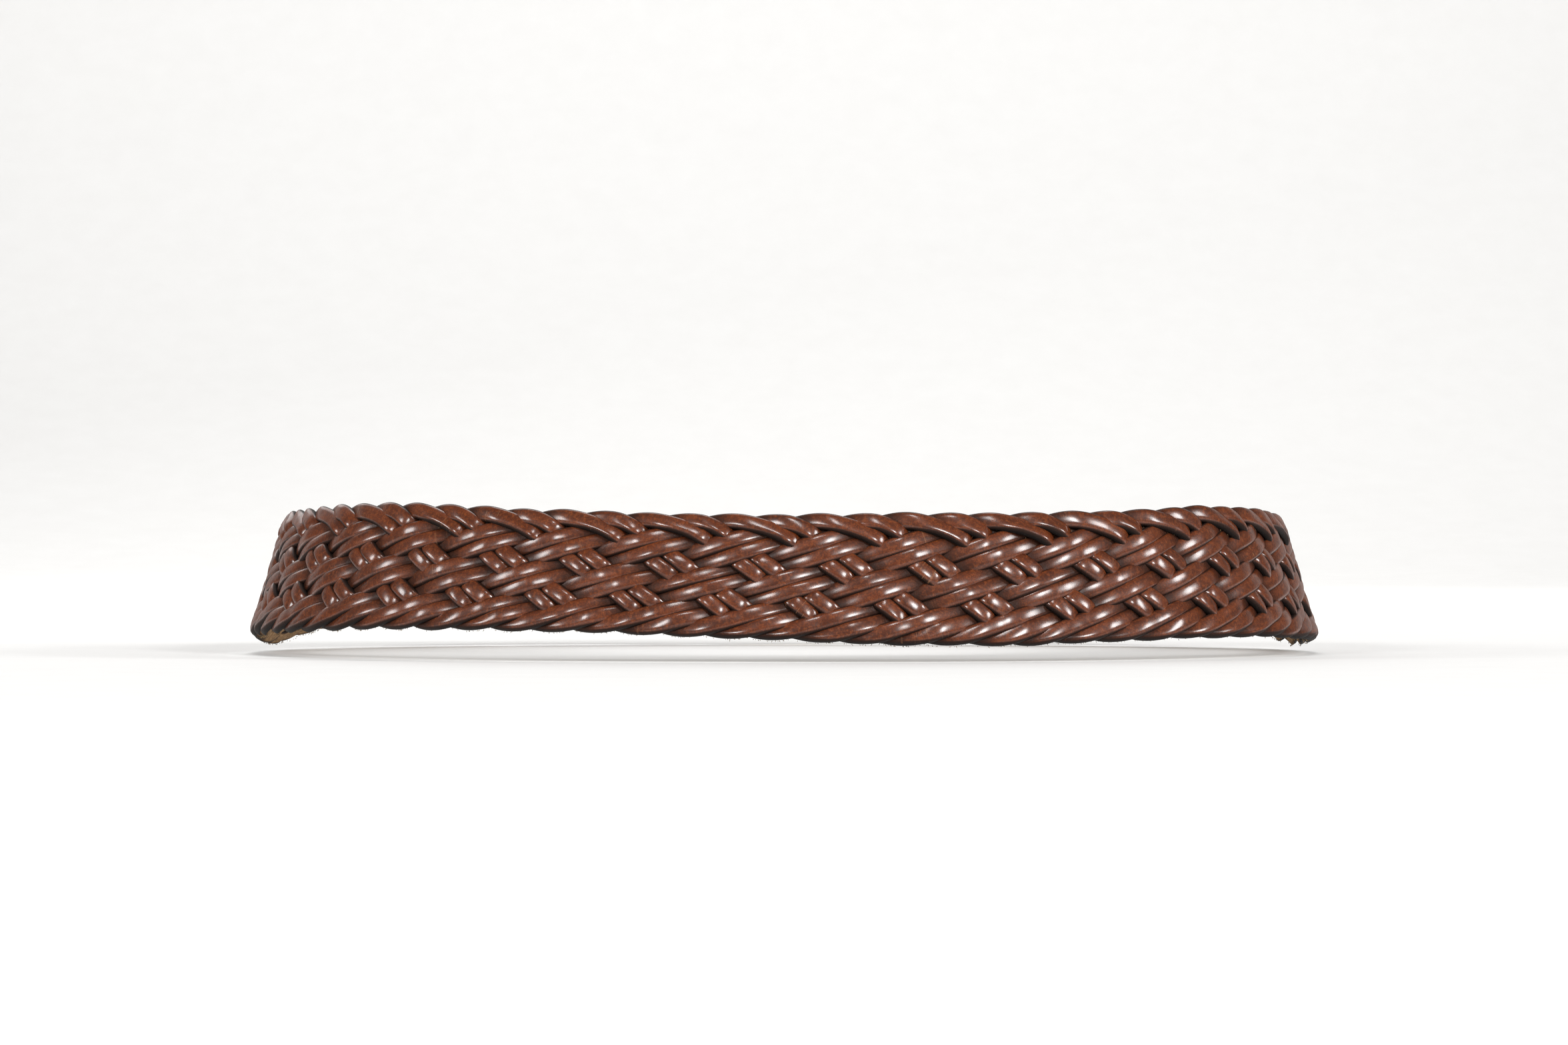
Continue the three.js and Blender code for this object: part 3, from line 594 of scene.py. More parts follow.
def make_lace(index, material):
    big = index % 2 == 0
    start = -LOOP / 2 + BUCKLE_TAB_BRAID_END
    end = LOOP / 2 + TIP_TAB_BRAID_END
    u = np.arange(start, end, RING_STEP)
    x = u - lace_corner(index)
    height, arch = weave_height(x, big)
    inside = pocket_share(u)
    squeezed = 1 - inside * (1 - POCKET_SQUEEZE)
    pressed = 1 - inside * (1 - POCKET_FLATTENING)

    v = (lace_across(x, big) + wander(u, "across", index)) * squeezed
    n = MIDDLE_DEPTH + WEAVE_HEIGHT * height + wander(u, "height", index)
    n += inside * (POCKET_MIDDLE + POCKET_FLATTENING * n - n)
    dv, dn = np.gradient(v, u), np.gradient(n, u)
    length = np.sqrt(1 + dv**2)
    lean = np.sqrt(length**2 + dn**2)
    steps = np.sqrt(np.diff(u) ** 2 + np.diff(v) ** 2 + np.diff(n) ** 2)
    along = np.concatenate([[0], np.cumsum(steps)])

    spread = WIDTH_MIDWAY + WIDTH_GAIN_ON_TOP * height + wander(u, "width", index)
    half_width = LACE_WIDTH / 2 * spread * squeezed
    into_climb, from_corner = x % CYCLE, CLIMB - x % CYCLE
    climbing = smooth_step(into_climb, 2, 8) * smooth_step(from_corner, 2, 8)
    crown = (LACE_CROWN + LACE_BULGE * arch * climbing) * pressed
    base = LACE_BASE * pressed
    roll = roll_angle(x) * (1 + wander(u, "roll", index)) + wander(u, "twist", index)
    roll *= 1 - inside

    rings = []
    for share, rise in SECTION[:, :2]:
        level_offset = share * half_width
        level_lift = rise * (crown if rise > 0 else base)
        offset = level_offset * np.cos(roll) + level_lift * np.sin(roll)
        lift = level_lift * np.cos(roll) - level_offset * np.sin(roll)
        ring = place(
            u - (offset * dv + lift * dn / lean) / length,
            v + (offset - lift * dn * dv / lean) / length,
            n + lift * length / lean,
        )
        rings.append(ring)
    points = np.stack(rings, 1).reshape(-1, 3)
    count, columns = len(u), len(SECTION)
    across, _, cut, flesh = SECTION.T
    attributes = {
        "along": np.repeat(along + PATTERN_SHIFT * index, columns),
        "across": np.tile(across, count),
        "cut": np.tile(cut, count),
        "flesh": np.tile(flesh, count),
        # how far the lace lies beneath the others: the material paints shade by it and takes away
        # wax shine
        "buried": np.repeat(0.5 - 0.5 * np.clip(height, -1, 1), columns),
    }
    name = f"lace_{index + 1:02d}"
    piece = add_mesh(name, points, closed_tube(count, columns), material, attributes)
    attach(piece, "root")
    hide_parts("braided_band")


def make_fray(material):
    """Loose fibres of the flesh side that peep out at the laces' edges, most at the turns."""
    rng = np.random.default_rng(FIBRE_SEED)
    points, faces = [], []
    for _ in range(FIBRES):
        index = int(rng.integers(LACES))
        big = index % 2 == 0
        turn = int(rng.integers(PAIRS_ROUND * 2 // LACES + 1))
        at_top = rng.random() < FIBRES_AT_TOP
        x = CLIMB + rng.uniform(*FRAY_UPPER_TURN) if at_top else rng.uniform(*FRAY_LOWER_TURN)
        u = lace_corner(index) - LOOP / 2 + x + turn * CYCLE
        if pocket_share(u) > 0 or not -LOOP / 2 < u < LOOP / 2:
            continue
        v = lace_across(x, big)
        slope = (lace_across(x + SLOPE_STEP, big) - v) / SLOPE_STEP
        length = math.hypot(1, slope)
        across, along = np.array([-slope, 1]) / length, np.array([1, slope]) / length
        height = MIDDLE_DEPTH + WEAVE_HEIGHT * float(weave_height(x, big)[0])
        edge = np.array([u, v]) - across * LACE_WIDTH / 2 * FIBRE_ROOT_SHARE
        root = np.append(edge, height - rng.uniform(*FIBRE_DEPTH))
        flat_way = -across * rng.uniform(*FIBRE_OUTWARDS) + along * rng.uniform(*FIBRE_ALONG)
        way = np.append(flat_way, rng.uniform(*FIBRE_UPWARDS))
        reach = rng.uniform(*FIBRE_REACH)
        curl = rng.normal(0, FIBRE_CURL, 3)
        side = np.cross(way, (0.0, 0.0, 1.0))
        side /= np.linalg.norm(side)
        lift = np.cross(side, way / np.linalg.norm(way))
        start = len(points)
        for share, thick in FIBRE_RINGS:
            middle = root + (way + curl * share) * reach * share
            for a in FIBRE_CORNERS:
                points.append(middle + thick * (side * math.cos(a) + lift * math.sin(a)))
        points.append(root + (way + curl) * reach)
        faces.append([start + 2, start + 1, start])
        for k in range(3):
            m = (k + 1) % 3
            faces.append([start + k, start + m, start + 3 + m, start + 3 + k])
            faces.append([start + 3 + k, start + 3 + m, start + 6])
    piece = add_mesh("frayed_fibres", place(*np.array(points).T), faces, material)
    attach(piece, "root")
    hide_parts("braided_band")


# The closure. Its pieces are modelled on the straight belt, in millimetres, with x = q,
# y = v and z = n, and bent to the loop when they are finished. A body is its points and
# its faces.


def rounded_section(half_width, half_height, radius, steps=3):
    """Points round a rounded rectangle, anticlockwise."""
    points = []
    for cx, cy, start in ((1, 1, 0), (-1, 1, 90), (-1, -1, 180), (1, -1, 270)):
        for k in range(steps + 1):
            a = math.radians(start + 90 * k / steps)
            x = cx * (half_width - radius) + radius * math.cos(a)
            points.append((x, cy * (half_height - radius) + radius * math.sin(a)))
    return points


def dense_loop(outline, pitch):
    """A closed outline with more points, about pitch apart, and its outward normals."""
    outline = np.array(outline)
    path = []
    for a, b in zip(outline, np.roll(outline, -1, 0)):
        steps = max(1, int(math.dist(a, b) / pitch))
        path += [a + (b - a) * k / steps for k in range(steps)]
    path = np.array(path)
    ahead = np.roll(path, -1, 0) - np.roll(path, 1, 0)
    ahead /= np.linalg.norm(ahead, axis=1, keepdims=True)
    return path, np.stack([ahead[:, 1], -ahead[:, 0]], 1)


def flat_object(points, faces):
    mesh = bpy.data.meshes.new("flat")
    mesh.from_pydata([tuple(p) for p in points], [], faces)
    piece = bpy.data.objects.new("flat", mesh)
    bpy.context.collection.objects.link(piece)
    return piece


def curve_normals(path):
    """Unit normals of a path in the (q, n) plane, on its left."""
    along = np.gradient(path, axis=0)
    along /= np.linalg.norm(along, axis=1, keepdims=True)
    return np.stack([-along[:, 1], along[:, 0]], 1)


# Where a strap's faces have points between their edges, as shares of its half width.
FACE_SHARES = np.array((9.5, 7.5, 5.5, 4.2, 3.4, 2.8, 2.2, 1.6, 0.9)) / TAB_HALF_WIDTH
FACE_SHARES = np.concatenate([FACE_SHARES, [0], -FACE_SHARES[::-1]])


def ribbon(path, half_widths, half_thicknesses, radius=0.45):
    """A strap with rounded edges along a path of (q, n) points."""
    rows = []
    for middle, normal, w, t in zip(path, curve_normals(path), half_widths, half_thicknesses):
        corners = rounded_section(w, t, min(radius, 0.9 * t))
        quarter = len(corners) // 4
        section = corners[:quarter] + [(w * share, t) for share in FACE_SHARES]
        section += corners[quarter : 3 * quarter] + [(-w * share, -t) for share in FACE_SHARES]
        section += corners[3 * quarter :]
        rows.append([(*(middle + normal * h), across) for across, h in section])
    points = np.array(rows)[..., [0, 2, 1]]
    return points.reshape(-1, 3), closed_tube(*points.shape[:2])


def joined(bodies):
    """Several bodies as one."""
    points, faces, shift = [], [], 0
    for body_points, body_faces in bodies:
        points.append(body_points)
        faces += [[shift + i for i in face] for face in body_faces]
        shift += len(body_points)
    return np.concatenate(points), faces


def outward(points, faces):
    """The same body with its faces turned to look outwards."""
    volume = 0.0
    for face in faces:
        a = points[face[0]]
        for i in range(1, len(face) - 1):
            volume += np.dot(a, np.cross(points[face[i]], points[face[i + 1]]))
    return points, faces if volume > 0 else [face[::-1] for face in faces]


def prism(outline, low, high):
    """A cutter with an outline in (q, v), from low to high."""
    count = len(outline)
    points = [(x, y, z) for z in (low, high) for x, y in outline]
    sides = [[i, (i + 1) % count, count + (i + 1) % count, count + i] for i in range(count)]
    ends = [list(range(count))[::-1], list(range(count, 2 * count))]
    return outward(np.array(points), sides + ends)


def slot_outline(q0, q1, half_width, steps=10):
    points = []
    for centre, start in ((q1 - half_width, -90), (q0 + half_width, 90)):
        for k in range(steps + 1):
            a = math.radians(start + 180 * k / steps)
            points.append((centre + half_width * math.cos(a), half_width * math.sin(a)))
    return points


def with_cuts(body, cutters):
    """A body with cutters taken out of it."""
    piece = flat_object(*body)
    tools = []
    for cutter in cutters:
        tool = flat_object(*cutter)
        modifier = piece.modifiers.new("cut", "BOOLEAN")
        modifier.object = tool
        modifier.operation = "DIFFERENCE"
        modifier.solver = "EXACT"
        tools.append(tool)
    bpy.context.view_layer.update()
    evaluated = piece.evaluated_get(bpy.context.evaluated_depsgraph_get())
    mesh = bpy.data.meshes.new_from_object(evaluated)
    points = np.array([v.co[:] for v in mesh.vertices])
    faces = [list(face.vertices) for face in mesh.polygons]
    for thing in [piece, *tools]:
        bpy.data.objects.remove(thing)
    return points, faces


def finish_piece(name, body, material, node, attributes=None):
    """Bends a finished body to the loop, hangs it on the root body and hides the CAD part it
    replaces.
    """
    points, faces = body
    piece = add_mesh(name, back_place(*points.T), faces, material, attributes)
    # back_place turns left into right, so faces are turned round again
    piece.data.flip_normals()
    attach(piece, "root")
    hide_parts(node)


def smoothed(q, at, values, reach=2.0):
    """A table read as a curve, with its corners rounded over the reach."""
    offsets = np.linspace(-reach, reach, 9)
    return np.mean([np.interp(q + d, at, values) for d in offsets], axis=0)


def softened(control, count=60, spread=0.32):
    """A curve that follows its control points and rounds them off."""
    at = np.linspace(0, len(control) - 1, count)
    weights = np.exp(-((at[:, None] - np.arange(-1, len(control) + 1)) ** 2) / spread)
    before, after = 2 * control[:1] - control[1:2], 2 * control[-1:] - control[-2:-1]
    return weights @ np.concatenate([before, control, after]) / weights.sum(1)[:, None]


def edge_attributes(points, half_width, holes):
    """How far each point is from the tab's long edges, and whether it lies in a cut."""
    q, v = points[:, 0], points[:, 1]
    rim = half_width - np.abs(v)
    cut = 1 - smooth_step(rim, 0.12, 0.5)
    for q0, q1, radius in holes:
        nearest = np.clip(q, min(q0 + radius, q1), max(q1 - radius, q0))
        from_slot = np.hypot(q - nearest, v)
        cut = np.maximum(cut, 1 - smooth_step(from_slot, radius + 0.05, radius + 0.35))
    return {"rim": rim, "cut": cut}


def face_normals(path, sign):
    """Normals of one of a strap's faces, as (q, v, n)."""
    normals = curve_normals(path) * sign
    return np.stack([normals[:, 0], np.zeros(len(path)), normals[:, 1]], 1)


def face_line(path, sign, v, half_thickness):
    """A line on a strap's face, at v across it, and the face's normals along it."""
    normals = face_normals(path, sign)
    middle = np.stack([path[:, 0], np.full(len(path), v), path[:, 1]], 1)
    return middle + normals * half_thickness, normals


def cross_line(q, n, reach, sign=1.0):
    """A line across a strap's face, out to reach on both sides, and the face's normals."""
    return np.array([(q, -reach, n), (q, reach, n)]), np.array([(0.0, 0.0, sign)] * 2)


def read_at(table, lengths, d):
    """A table of points along a line, read at the length d."""
    return np.array([np.interp(d, lengths, column) for column in table.T])


def stitches(lines):
    """Short thread stitches along lines of (q, v, n) points, each with the face's normals."""
    bodies = []
    turns = np.linspace(0, 2 * np.pi, THREAD_SIDES + 1)[:-1]
    for line, normals in lines:
        steps = np.linalg.norm(np.diff(line, axis=0), axis=1)
        lengths = np.concatenate([[0], np.cumsum(steps)])
        count = int((lengths[-1] - STITCH_LENGTH) / STITCH_PITCH)
        margin = (lengths[-1] - count * STITCH_PITCH) / 2
        for i in range(count + 1):
            points = []
            for share in np.linspace(-1, 1, STITCH_RINGS):
                d = margin + i * STITCH_PITCH + share * STITCH_LENGTH / 2
                ahead = read_at(line, lengths, d + 0.1) - read_at(line, lengths, d - 0.1)
                ahead /= np.linalg.norm(ahead)
                normal = read_at(normals, lengths, d)
                side = np.cross(normal, ahead)
                thick = THREAD_RADIUS * math.sqrt(max(1 - share**4, 0.05))
                lift = STITCH_RISE * (1 - share**2) - STITCH_SINK
                centre = read_at(line, lengths, d) + normal * lift + side * STITCH_SLANT * share
                for a in turns:
                    points.append(centre + (side * math.cos(a) + normal * math.sin(a)) * thick)
            bodies.append(outward(np.array(points), closed_tube(STITCH_RINGS, THREAD_SIDES)))
    return joined(bodies)


def make_buckle_tab(leather, thread):
    """Two layers, sewn over the braid's end and folded round the buckle's bar."""

    def width(at):
        shoulder = smooth_step(at, BAR_Q + 3, BAR_Q + 10)
        return FOLD_HALF_WIDTH + (TAB_HALF_WIDTH - FOLD_HALF_WIDTH) * shoulder

    mouth = BUCKLE_TAB_BRAID_END + POCKET_LENGTH
    q = np.arange(mouth, BAR_Q + 3.0, -TAB_STEP)
    opening = smooth_step(q, BUCKLE_TAB_BRAID_END - 7, BUCKLE_TAB_BRAID_END)
    round_bar = 1 - smooth_step(q, BAR_Q + 2, BAR_Q + 9)
    laid = LEATHER / 2 + SEWN_GAP + (FOLD_RADIUS - LEATHER / 2) * round_bar
    outer_n = laid + opening * (POCKET_OUTER + LEATHER / 2 - laid)
    inner_n = -laid + opening * (POCKET_INNER - LEATHER / 2 + laid)
    outer, inner = np.stack([q, outer_n], 1), np.stack([q, inner_n], 1)
    turn = np.radians(np.linspace(75, 285, 22))
    fold = np.stack([BAR_Q + FOLD_RADIUS * np.cos(turn), FOLD_RADIUS * np.sin(turn)], 1)
    path = np.concatenate([outer, fold, inner[::-1]])
    body = outward(*ribbon(path, width(path[:, 0]), np.full(len(path), LEATHER / 2)))
    body = with_cuts(body, [prism(slot_outline(*PRONG_SLOT), -8, 8)])
    attributes = edge_attributes(body[0], width(body[0][:, 0]), [PRONG_SLOT])
    finish_piece("buckle_tab_leather", body, leather, "buckle_tab", attributes)

    lines = []
    sewn = (q > BAR_Q + 9) & (q < mouth - 1.2)
    for v in (STITCH_INSET - TAB_HALF_WIDTH, TAB_HALF_WIDTH - STITCH_INSET):
        lines.append(face_line(outer[sewn], -1, v, LEATHER / 2))
        lines.append(face_line(inner[sewn], 1, v, LEATHER / 2))
    for row_q, row_n in (outer[sewn][2], outer[sewn][-2]):
        lines.append(cross_line(row_q, row_n + LEATHER / 2, CROSS_ROW_REACH))
    finish_piece("buckle_tab_stitches", stitches(lines), thread, "buckle_tab")


def make_tip_tab(leather, thread):
    """Two layers, sewn over the braid's other end, that go on as the strap with holes."""

    def width(at):
        past = np.clip((at - STRAP_TIP_FROM) / (STRAP_TIP_REACH + 0.05), 0, 0.9999)
        return TAB_HALF_WIDTH * np.sqrt(1 - past**2)

    mouth = TIP_TAB_BRAID_END - POCKET_LENGTH
    tip_turn = np.radians(np.linspace(0, STRAP_TIP_TURN, 22))
    tip = STRAP_TIP_FROM + STRAP_TIP_REACH * np.sin(tip_turn)
    q = np.concatenate([np.arange(mouth, STRAP_TIP_FROM, TAB_STEP), tip])
    under = smoothed(q, STRAP_Q, STRAP_UNDERSIDE)
    opening = 1 - smooth_step(q, TIP_TAB_BRAID_END, TIP_TAB_BRAID_END + 6)
    half = STRAP / 4 + opening * (LEATHER / 2 - STRAP / 4)
    laid_outer, laid_inner = under + 0.75 * STRAP, under + 0.25 * STRAP
    outer_n = laid_outer + SEWN_GAP + opening * (POCKET_OUTER + LEATHER / 2 - laid_outer)
    inner_n = laid_inner - SEWN_GAP + opening * (POCKET_INNER - LEATHER / 2 - laid_inner)
    outer, inner = np.stack([q, outer_n], 1), np.stack([q, inner_n], 1)
    holes = [(at - HOLE_RADIUS, at + HOLE_RADIUS, HOLE_RADIUS) for at in SPARE_HOLES_Q]
    holes.append(PRONG_HOLE)
    cutters = [prism(slot_outline(*hole), -12, 12) for hole in holes]
    layers = []
    for path in (outer, inner):
        layers.append(with_cuts(outward(*ribbon(path, width(q), half, 0.4)), cutters))
    body = joined(layers)
    attributes = edge_attributes(body[0], width(body[0][:, 0]), holes)
    finish_piece("tip_tab_leather", body, leather, "tip_tab", attributes)

    lines = []
    sewn = (q > mouth + 1.2) & (q < q[-1] - 1.5)
    sewn_q = q[sewn]
    reach = width(sewn_q + STITCH_INSET * (sewn_q > STRAP_TIP_FROM)) - STITCH_INSET
    reach = np.maximum(reach, 0.6)
    for side in (-1, 1):
        for path, sign in ((outer[sewn], 1), (inner[sewn], -1)):
            line = np.stack([sewn_q, side * reach, path[:, 1] + sign * half[sewn]], 1)
            lines.append((line, face_normals(path, sign)))
    for i in (np.argmax(sewn) + 2, np.argmax(q > TIP_TAB_BRAID_END + 1.5)):
        lines.append(cross_line(q[i], outer_n[i] + half[i], CROSS_ROW_REACH))
    finish_piece("tip_tab_stitches", stitches(lines), thread, "tip_tab")


def make_keeper(leather, thread):
    """A closed band: its section runs round it, with a crease near both edges."""
    half_v, low, high = KEEPER_INNER
    reach = KEEPER_LEATHER / 2
    outline = rounded_section(half_v + reach, (high - low) / 2 + reach, KEEPER_CORNER, 6)
    path, normals = dense_loop(outline, 1.2)
    half_q = (KEEPER_TO - KEEPER_FROM) / 2
    middle_q, middle_n = (KEEPER_FROM + KEEPER_TO) / 2, (high + low) / 2
    edge = [
        (-half_q, -reach + 0.3),
        (-half_q, reach - 0.35),
        (-half_q + 0.35, reach),
        (-half_q + 1.0, reach),
        (-half_q + 1.25, reach - 0.2),
        (-half_q + 1.5, reach),
    ]
    profile = edge + [(0, reach)] + [(-x, h) for x, h in edge[::-1]]
    profile += [(half_q - 0.3, -reach), (-half_q + 0.3, -reach)]
    points = []
    for (v, n), (nv, nn) in zip(path, normals):
        points += [(middle_q + x, v + nv * h, middle_n + n + nn * h) for x, h in profile]
    body = outward(np.array(points), tube_sides(len(path), len(profile), closed=True))
    from_middle = np.tile([abs(x) for x, _ in profile], len(path))
    attributes = {
        "rim": half_q - from_middle,
        "cut": smooth_step(from_middle, half_q - 0.4, half_q - 0.1),
    }
    finish_piece("keeper_leather", body, leather, "keeper", attributes)

    lines = []
    for q in (KEEPER_FROM + KEEPER_ROW_INSET, KEEPER_TO - KEEPER_ROW_INSET):
        lines.append(cross_line(q, low - KEEPER_LEATHER, KEEPER_ROW_REACH, -1.0))
    finish_piece("keeper_stitches", stitches(lines), thread, "keeper")


def frame_rise(q):
    return FRAME_RISE * (BAR_Q - q) / (2 * BAR_Q)


def make_buckle(metal):
    """The frame, its bar and the prong, one casting with softened edges."""
    half = FRAME_BAR / 2
    outline = rounded_section(BAR_Q, FRAME_HALF_HEIGHT - half, FRAME_CORNER - half, 8)
    path, out = dense_loop(outline, 1.5)
    section = rounded_section(half, half, FRAME_EDGE, 4)
    points = []
    for (q, v), (oq, ov) in zip(path, out):
        points += [(q + oq * a, v + ov * a, frame_rise(q + oq * a) + b) for a, b in section]
    ring = outward(np.array(points), tube_sides(len(path), len(section), closed=True))

    line = softened(PRONG_PATH)
    points = []
    for i, (middle, normal) in enumerate(zip(line, curve_normals(line))):
        wide = PRONG_RADIUS * (1.15 - 0.3 * i / (len(line) - 1))
        into_tip = i - (len(line) - 3)
        if into_tip >= 0:
            wide *= 0.85 - 0.2 * into_tip
        section = rounded_section(wide, wide * 0.85, wide * 0.6, 3)
        points += [(*(middle + normal * h), a) for a, h in section]
    prong_points = np.array(points)[:, [0, 2, 1]]
    prong = outward(prong_points, closed_tube(len(line), len(section)))

    thickness = PRONG_EYE_RADIUS - half + 0.1
    radius = PRONG_EYE_RADIUS - thickness / 2
    section = rounded_section(PRONG_EYE_HALF_WIDTH, thickness / 2, 0.45, 3)
    turns = np.linspace(0, 2 * np.pi, 37)[:-1]
    points = []
    for a in turns:
        for across, h in section:
            r = radius + h
            points.append((BAR_Q + r * math.cos(a), across, r * math.sin(a)))
    eye = outward(np.array(points), tube_sides(len(turns), len(section), closed=True))
    finish_piece("buckle_metalwork", joined([ring, prong, eye]), metal, "buckle")


# Materials


class Nodes:
    """Short calls for the nodes that the materials are built from."""

    def __init__(self, tree):
        self.tree = tree

    def put(self, socket, value):
        if isinstance(value, bpy.types.NodeSocket):
            self.tree.links.new(value, socket)
        else:
            socket.default_value = value

    def attribute(self, name):
        node = self.tree.nodes.new("ShaderNodeAttribute")
        node.attribute_name = name
        return node.outputs["Fac"]

    def position(self):
        return self.tree.nodes.new("ShaderNodeTexCoord").outputs["Object"]

    def vector(self, x, y, z=0.0):
        node = self.tree.nodes.new("ShaderNodeCombineXYZ")
        for socket, value in zip(node.inputs, (x, y, z)):
            self.put(socket, value)
        return node.outputs["Vector"]

    def math(self, kind, a, b=0.0):
        node = self.tree.nodes.new("ShaderNodeMath")
        node.operation = kind
        self.put(node.inputs[0], a)
        self.put(node.inputs[1], b)
        return node.outputs["Value"]

    def ramp(self, value, low, high, to_low=0.0, to_high=1.0):
        node = self.tree.nodes.new("ShaderNodeMapRange")
        node.interpolation_type = "SMOOTHSTEP"
        for name, amount in (("Value", value), ("From Min", low), ("From Max", high)):
            self.put(node.inputs[name], amount)
        self.put(node.inputs["To Min"], to_low)
        self.put(node.inputs["To Max"], to_high)
        return node.outputs["Result"]

    def noise(self, vector, scale, detail=3.0, rough=0.55):
        node = self.tree.nodes.new("ShaderNodeTexNoise")
        self.put(node.inputs["Vector"], vector)
        node.inputs["Scale"].default_value = scale
        node.inputs["Detail"].default_value = detail
        node.inputs["Roughness"].default_value = rough
        return node.outputs["Fac"]

    def cells(self, vector, scale):
        node = self.tree.nodes.new("ShaderNodeTexVoronoi")
        self.put(node.inputs["Vector"], vector)
        node.inputs["Scale"].default_value = scale
        return node.outputs["Distance"]

    def facing(self):
        """0 where the surface faces the eye, 1 where it is seen edge on."""
        node = self.tree.nodes.new("ShaderNodeLayerWeight")
        node.inputs["Blend"].default_value = 0.5
        return node.outputs["Facing"]

    def mix(self, factor, a, b):
        node = self.tree.nodes.new("ShaderNodeMix")
        node.data_type = "RGBA"
        self.put(node.inputs["Factor"], factor)
        self.put(node.inputs["A"], a)
        self.put(node.inputs["B"], b)
        return node.outputs["Result"]

    def bump(self, height, distance, strength=1.0, normal=None):
        node = self.tree.nodes.new("ShaderNodeBump")
        self.put(node.inputs["Height"], height)
        node.inputs["Distance"].default_value = distance
        node.inputs["Strength"].default_value = strength
        if normal is not None:
            self.put(node.inputs["Normal"], normal)
        return node.outputs["Normal"]


def lace_material():
    """Waxed grain with dark cut edges, and suede on the flesh side."""
    material, tree, shader = node_material("braid_leather")
    k = Nodes(tree)
    along, across = k.attribute("along"), k.attribute("across")
    cut, flesh, buried = k.attribute("cut"), k.attribute("flesh"), k.attribute("buried")
    position = k.position()

    def lengthwise(scale, second, rough=0.55):
        """Noise that runs with the lace."""
        where = k.vector(k.math("MULTIPLY", along, scale), second)
        return k.noise(where, 1.0, 3.0, rough)

    mottle = k.noise(position, 1100.0, 4.0)
    pebbles = k.cells(position, 2600.0)
    grain = k.mix(k.ramp(lengthwise(0.06, across), 0.3, 0.7), GRAIN, GRAIN_DARK)
    grain = k.mix(k.ramp(mottle, 0.4, 0.7, 0.0, 0.7), grain, GRAIN_WARM)
    grain = k.mix(k.ramp(pebbles, 0.35, 0.7, 0.0, 0.45), grain, PORES)
    # darker towards the lace's edges, partly real burnish and partly painted shade between laces,
    # and painted shade where a lace dives beneath others
    rim = k.ramp(k.math("ABSOLUTE", across), 0.7, 0.93)
    burnish_and_shade = k.math("MAXIMUM", rim, k.ramp(buried, 0.2, 0.8, 0.0, 0.85))
    grain = k.mix(burnish_and_shade, grain, BURNISH_AND_SHADE)

    # fine cracks across the lace, in worn stretches, broken up
    from_crack = k.math("ABSOLUTE", k.math("SUBTRACT", lengthwise(0.35, 0.0), 0.5))
    crack = k.ramp(from_crack, 0.0, 0.004, 1.0, 0.0)
    worn = k.ramp(lengthwise(0.03, 3.0), 0.57, 0.61)
    broken = k.ramp(k.noise(position, 700.0), 0.42, 0.55)
    crack = k.math("MULTIPLY", k.math("MULTIPLY", crack, worn), broken)
    grain = k.mix(k.math("MULTIPLY", crack, 0.5), grain, CRACKED)

    colour = k.mix(k.ramp(cut, 0.3, 0.9), grain, CUT_EDGE)
    suede = k.mix(k.ramp(k.noise(position, 1400.0, 5.0), 0.3, 0.7), SUEDE, SUEDE_DARK)
    colour = k.mix(k.ramp(flesh, 0.3, 0.8), colour, suede)
    k.put(shader.inputs["Base Color"], colour)

    roughness = k.ramp(k.noise(position, 300.0, 3.0), 0.3, 0.7, 0.36, 0.52)
    cut_rough, flesh_rough = k.ramp(cut, 0.2, 0.9, 0.0, 0.6), k.ramp(flesh, 0.1, 0.6, 0.0, 0.95)
    rough_side = k.math("MAXIMUM", cut_rough, flesh_rough)
    rough_side = k.math("MAXIMUM", rough_side, k.math("MULTIPLY", rim, 0.6))
    k.put(shader.inputs["Roughness"], k.math("MAXIMUM", roughness, rough_side))

    wrinkles = lengthwise(4.5, k.math("MULTIPLY", across, 0.7), 0.6)
    normal = k.bump(pebbles, 0.00005, 0.8)
    normal = k.bump(wrinkles, 0.00001, 0.6, normal)
    k.put(shader.inputs["Normal"], normal)

    # the wax shines on top of the weave only, and least at a grazing angle
    shine = k.ramp(k.math("MAXIMUM", cut, flesh), 0.1, 0.7, 1.0, 0.0)
    shine = k.math("MULTIPLY", shine, k.ramp(buried, 0.25, 0.65, 1.0, 0.06))
    shine = k.math("MULTIPLY", shine, k.ramp(k.facing(), 0.55, 0.9, 1.0, 0.15))
    shine = k.math("MULTIPLY", shine, k.math("SUBTRACT", 1.0, rim))
    k.put(shader.inputs["Coat Weight"], shine)
    shader.inputs["Coat Roughness"].default_value = 0.2
    shader.inputs["Specular IOR Level"].default_value = 0.12
    return material


def fibre_material():
    material, tree, shader = node_material("leather_fibres")
    k = Nodes(tree)
    shade = k.ramp(k.noise(k.position(), 260.0, 3.0), 0.35, 0.65)
    k.put(shader.inputs["Base Color"], k.mix(shade, FIBRE_DARK, FIBRE_PALE))
    shader.inputs["Roughness"].default_value = 0.9
    return material


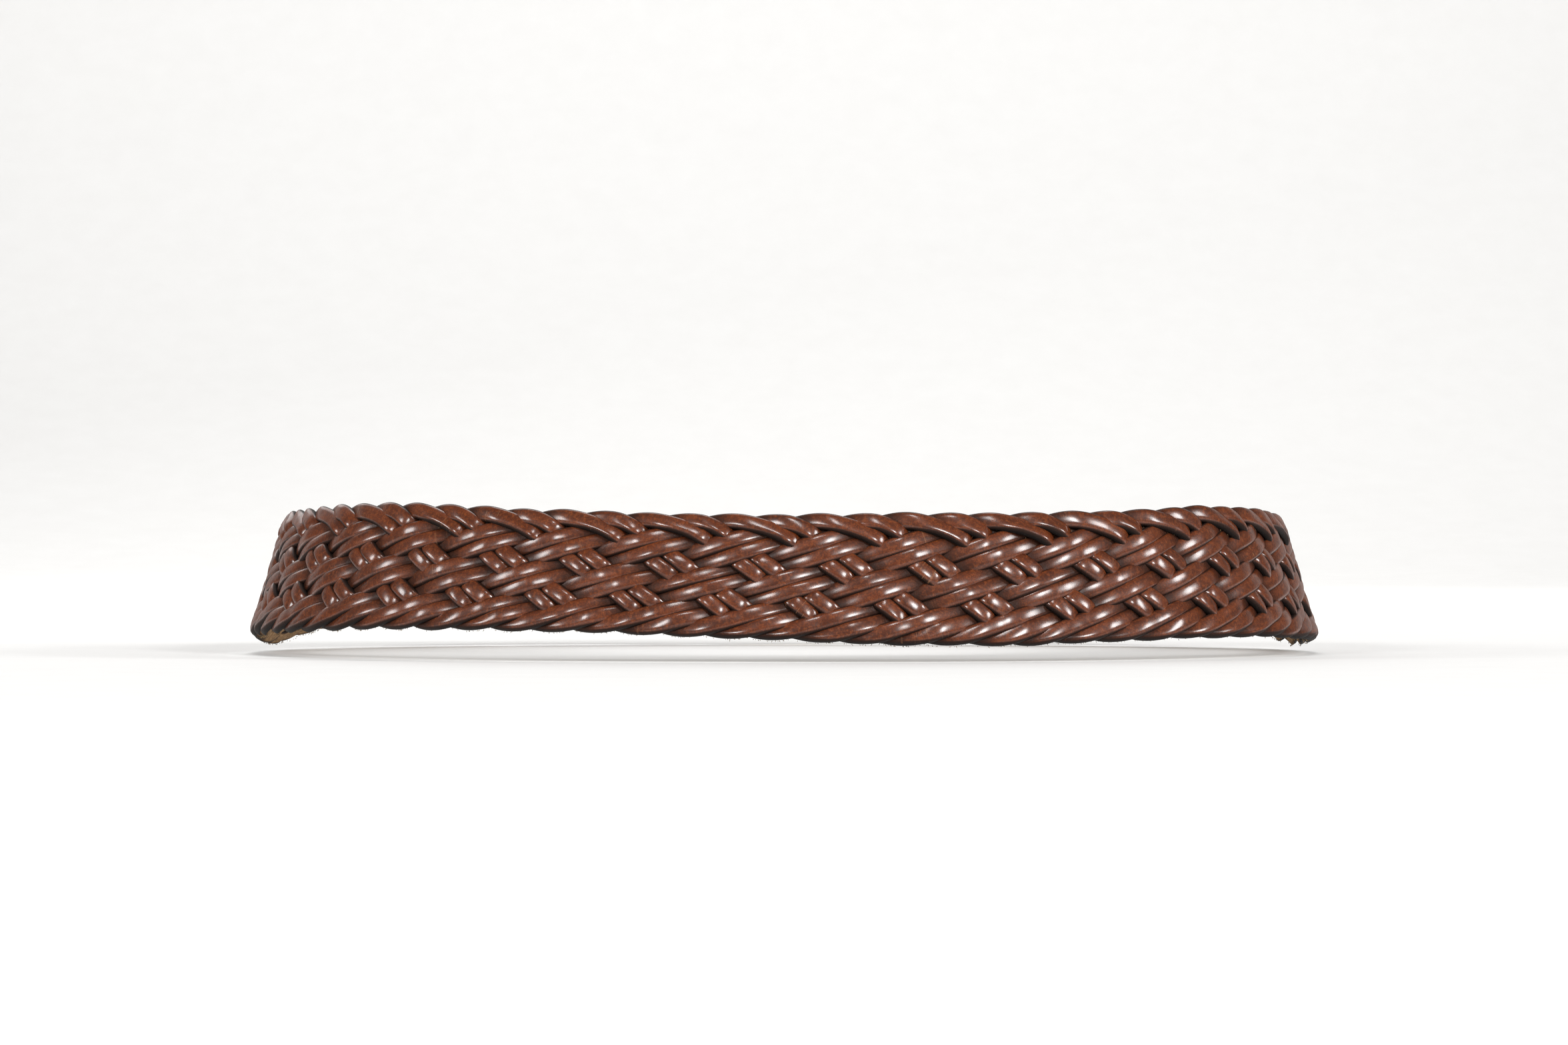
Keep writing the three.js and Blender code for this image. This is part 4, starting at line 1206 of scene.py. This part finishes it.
def tab_material():
    """Smooth leather with a crease along its edges, beside the stitches."""
    material, tree, shader = node_material("tab_leather")
    k = Nodes(tree)
    rim, cut = k.attribute("rim"), k.attribute("cut")
    position = k.position()
    patches = k.noise(position, 70.0, 4.0)
    mottle = k.noise(position, 900.0, 4.0)
    colour = k.mix(k.ramp(patches, 0.3, 0.7), TAB, TAB_DARK)
    colour = k.mix(k.ramp(mottle, 0.35, 0.75, 0.0, 0.4), colour, TAB_WARM)
    from_crease = k.math("ABSOLUTE", k.math("SUBTRACT", rim, STITCH_INSET))
    crease = k.ramp(from_crease, 0.1, 0.6)
    colour = k.mix(crease, k.mix(0.6, colour, TAB_CREASE), colour)
    colour = k.mix(k.ramp(cut, 0.2, 0.9), colour, TAB_EDGE)
    k.put(shader.inputs["Base Color"], colour)
    rub = k.ramp(k.noise(position, 240.0, 3.0), 0.3, 0.7, 0.3, 0.48)
    k.put(shader.inputs["Roughness"], k.math("MAXIMUM", rub, k.math("MULTIPLY", cut, 0.55)))
    normal = k.bump(k.cells(position, 1500.0), 0.00012, 0.7)
    normal = k.bump(k.noise(position, 420.0, 4.0), 0.00025, 0.5, normal)
    normal = k.bump(crease, 0.00025, 1.0, normal)
    k.put(shader.inputs["Normal"], normal)
    shader.inputs["Coat Weight"].default_value = 0.2
    shader.inputs["Coat Roughness"].default_value = 0.25
    return material


def thread_material():
    material, tree, shader = node_material("waxed_thread")
    k = Nodes(tree)
    strands = k.noise(k.position(), 5200.0, 3.0)
    colour = k.mix(k.ramp(strands, 0.3, 0.7), THREAD_DARK, THREAD_PALE)
    k.put(shader.inputs["Base Color"], colour)
    k.put(shader.inputs["Roughness"], k.ramp(strands, 0.3, 0.7, 0.5, 0.7))
    k.put(shader.inputs["Normal"], k.bump(strands, 0.00008, 0.8))
    return material


def brass_material():
    material, tree, shader = node_material("aged_brass")
    k = Nodes(tree)
    position = k.position()
    tarnish = k.noise(position, 130.0, 5.0)
    k.put(shader.inputs["Base Color"], k.mix(k.ramp(tarnish, 0.42, 0.72), BRASS, TARNISHED))
    shader.inputs["Metallic"].default_value = 1.0
    scuffs = k.noise(position, 900.0, 4.0, 0.7)
    k.put(shader.inputs["Roughness"], k.ramp(scuffs, 0.3, 0.75, 0.2, 0.42))
    k.put(shader.inputs["Normal"], k.bump(k.noise(position, 1500.0, 3.0), 0.00003, 0.6))
    return material


make_camera()
make_floor()
make_lights()
braid = lace_material()
for lace_index in range(LACES):
    make_lace(lace_index, braid)
make_fray(fibre_material())
tab_leather, thread = tab_material(), thread_material()
make_buckle_tab(tab_leather, thread)
make_tip_tab(tab_leather, thread)
make_keeper(tab_leather, thread)
make_buckle(brass_material())
